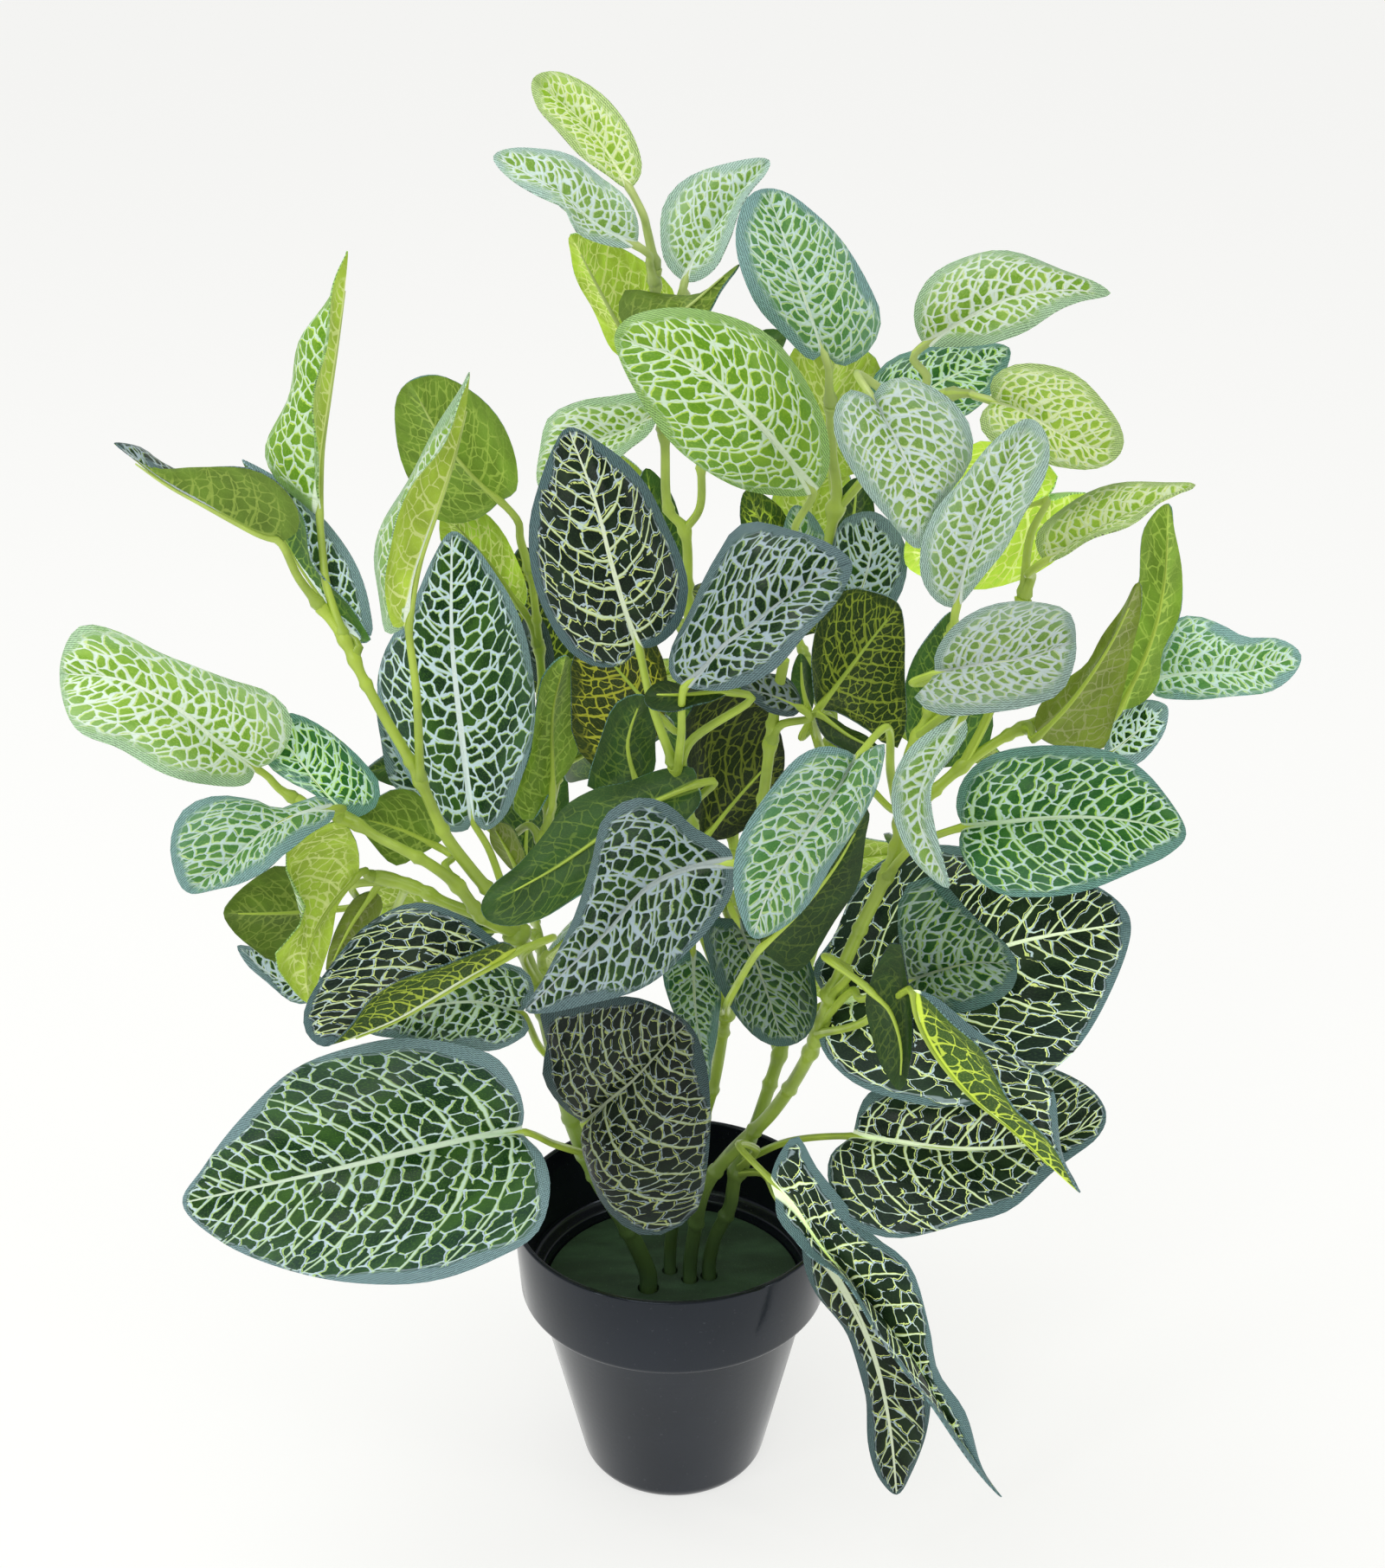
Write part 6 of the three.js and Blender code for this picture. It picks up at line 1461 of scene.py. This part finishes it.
def turned(name, points, steps):
    """A profile spun round the pot's axis, with its doubles merged and its faces outward."""
    made = start_mesh(name, points)
    bpy.ops.mesh.spin(steps=steps, dupli=False, angle=2 * math.pi, center=(0, 0, 0), axis=(0, 0, 1))
    bpy.ops.mesh.select_all(action="SELECT")
    bpy.ops.mesh.remove_doubles(threshold=1e-6)
    bpy.ops.mesh.normals_make_consistent(inside=False)
    bpy.ops.object.mode_set(mode="OBJECT")
    return made


def rounded(points, radii, steps=5):
    """A profile whose corners are rounded with the given radii."""
    made = [points[0]]
    for (p, q, r), radius in zip(zip(points, points[1:], points[2:]), radii):
        p, q, r = (np.array(v, float) for v in (p, q, r))
        if not radius:
            made.append(tuple(q))
            continue
        back, on = unit(p - q), unit(r - q)
        reach = min(radius, 0.45 * np.linalg.norm(p - q), 0.45 * np.linalg.norm(r - q))
        for t in np.linspace(0, 1, steps):
            made.append(tuple(
                (1 - t) ** 2 * (q + back * reach) + 2 * t * (1 - t) * q + t ** 2 * (q + on * reach)))
    return made + [points[-1]]


class NERVE_PLANT_OT_pot(Operator):
    """Model the tapered pot with its wide collar and inner ledge"""
    bl_idname = "nerve_plant.pot"
    bl_label = "Pot"

    def execute(self, context):
        s = context.scene.nerve_plant_pot
        foot = s.height - s.collar_height
        profile = [
            (0, 0), (s.base_radius - 0.0022, 0), (s.base_radius + 0.0002, 0.003), (s.body_radius, foot),
            (s.collar_radius, foot), (s.rim_radius, s.height), (s.rim_radius - s.wall, s.height),
            (s.collar_radius - s.wall - 0.0004, foot + 0.0026), (s.ledge_radius, foot + 0.002),
            (s.base_radius - s.wall - 0.0006, s.floor + 0.0004), (0, s.floor)]
        radii = [0.0014, 0.003, 0.0012, 0.0022, 0.0013, 0.0006, 0.002, 0.0009, 0.002]
        pot = turned("pot_shell", rounded(profile, radii), POT_STEPS)
        pot.data.materials.append(material("pot_gloss"))
        smooth(pot, 50)
        hand_in(pot, "pot")
        return {"FINISHED"}


class NERVE_PLANT_OT_filler(Operator):
    """Model the painted filler with the holes that the stems stand in"""
    bl_idname = "nerve_plant.filler"
    bl_label = "Filler"

    def execute(self, context):
        s = context.scene.nerve_plant_pot
        low, high = s.floor + 0.0003, FILLER_TOP * MM
        inner_foot = s.base_radius - s.wall - 0.0004
        slope = (s.ledge_radius - inner_foot) / (s.height - s.collar_height + 0.002 - s.floor - 0.0006)
        top = inner_foot + slope * (high - s.floor - 0.0006) - 0.0004
        foot = inner_foot - 0.0008
        profile = [(0, low), (foot - 0.0012, low), (foot, low + 0.0015), (top, high), (top - 0.004, high - 0.0001),
                   (0.02, high - 0.0005), (0, high - 0.0004)]
        filler = turned("filler_plug", rounded(profile, [0.0004, 0.0006, 0.0008, 0, 0]), FILLER_STEPS)
        for name, (course, stem, parent, radii) in branch_courses().items():
            if parent:
                continue
            x, y = course.at(0)[0][:2] * MM
            bpy.ops.object.select_all(action="DESELECT")
            bpy.ops.mesh.primitive_cylinder_add(
                vertices=32, radius=(radii[0] + 0.5) * MM, depth=(HOLE_DEPTH + 8) * MM,
                location=(x, y, (FILLER_TOP - HOLE_DEPTH / 2 + 4) * MM))
            hole = bpy.context.object
            cut = filler.modifiers.new("hole", "BOOLEAN")
            cut.operation, cut.object, cut.solver = "DIFFERENCE", hole, "EXACT"
            bpy.ops.object.select_all(action="DESELECT")
            bpy.context.view_layer.objects.active = filler
            filler.select_set(True)
            bpy.ops.object.modifier_apply(modifier="hole")
            bpy.data.objects.remove(hole)
        filler.data.materials.append(material("filler_paint"))
        smooth(filler, 40)
        hand_in(filler, "filler")
        return {"FINISHED"}


def soft_light(name, place_, look_at, size, power):
    lamp = bpy.data.lights.new(name, "AREA")
    lamp.shape = "RECTANGLE"
    lamp.size, lamp.size_y = size
    lamp.energy = power
    made = bpy.data.objects.new(name, lamp)
    made.location = place_
    made.rotation_euler = (Vector(look_at) - Vector(place_)).to_track_quat("-Z", "Y").to_euler()
    bpy.context.scene.collection.objects.link(made)


class NERVE_PLANT_OT_stage(Operator):
    """Set up the pale floor, the soft lights and the camera"""
    bl_idname = "nerve_plant.stage"
    bl_label = "Stage"

    def execute(self, context):
        bpy.ops.object.select_all(action="DESELECT")
        bpy.ops.mesh.primitive_plane_add(size=8, location=(0, 0, 0))
        floor = bpy.context.object
        floor.name = "studio_floor"
        floor.data.materials.append(material("studio_floor"))
        floor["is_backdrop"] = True

        camera = bpy.data.cameras.new("camera")
        camera.sensor_width = 36
        camera.lens = 36 * FOCAL / PICTURE[1]
        camera.clip_start, camera.clip_end = 0.05, 20
        eye = bpy.data.objects.new("camera", camera)
        eye.location = EYE * MM
        eye.rotation_euler = (math.pi / 2 - EYE_PITCH, 0, 0)
        context.scene.collection.objects.link(eye)
        context.scene.camera = eye

        soft_light("overhead", (-0.4, -0.1, 1.8), (0, 0, 0.2), (0.9, 0.9), 9)
        soft_light("front_box", (-0.5, -1.7, 1.5), (0, 0, 0.2), (0.9, 0.6), 6)
        soft_light("left_strip", (-1.0, -0.9, 0.7), (0, 0, 0.2), (0.14, 1.2), 2.4)
        soft_light("right_strip", (1.1, -0.6, 0.6), (0, 0, 0.2), (0.14, 1.2), 2.4)
        world = bpy.data.worlds.new("studio")
        world.use_nodes = True
        shade = world.node_tree.nodes["Background"]
        shade.inputs["Color"].default_value = (1, 1, 1, 1)
        shade.inputs["Strength"].default_value = 0.52
        context.scene.world = world
        context.scene.view_settings.view_transform = "Standard"
        return {"FINISHED"}


class NERVE_PLANT_PT_panel(Panel):
    """Steps and settings of the nerve plant"""
    bl_idname = "NERVE_PLANT_PT_panel"
    bl_label = "Nerve Plant"
    bl_space_type = "VIEW_3D"
    bl_region_type = "UI"
    bl_category = "Nerve Plant"

    def draw(self, context):
        for operator in OPERATORS:
            self.layout.operator(operator.bl_idname)
        for settings in (context.scene.nerve_plant_pot, context.scene.nerve_plant_leaves,
                         context.scene.nerve_plant_colours):
            box = self.layout.box()
            for key in settings.__annotations__:
                box.prop(settings, key)


SETTINGS = {
    "nerve_plant_pot": NervePlantPot,
    "nerve_plant_leaves": NervePlantLeaves,
    "nerve_plant_colours": NervePlantColours,
}
OPERATORS = (NERVE_PLANT_OT_stage, NERVE_PLANT_OT_pot, NERVE_PLANT_OT_filler, NERVE_PLANT_OT_stems,
             NERVE_PLANT_OT_leaves)


def register():
    for name, group in SETTINGS.items():
        bpy.utils.register_class(group)
        setattr(bpy.types.Scene, name, PointerProperty(type=group))
    for part in (*OPERATORS, NERVE_PLANT_PT_panel):
        bpy.utils.register_class(part)


def unregister():
    for part in reversed((*OPERATORS, NERVE_PLANT_PT_panel)):
        bpy.utils.unregister_class(part)
    for name, group in SETTINGS.items():
        delattr(bpy.types.Scene, name)
        bpy.utils.unregister_class(group)


def main():
    register()
    bpy.ops.nerve_plant.stage()
    bpy.ops.nerve_plant.pot()
    bpy.ops.nerve_plant.filler()
    bpy.ops.nerve_plant.stems()
    bpy.ops.nerve_plant.leaves()
    boxes = {"cad": CAD_BOX, "visual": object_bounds()}
    {key: [list(corner) for corner in box] for key, box in boxes.items()}


if __name__ == "__main__":
    main()
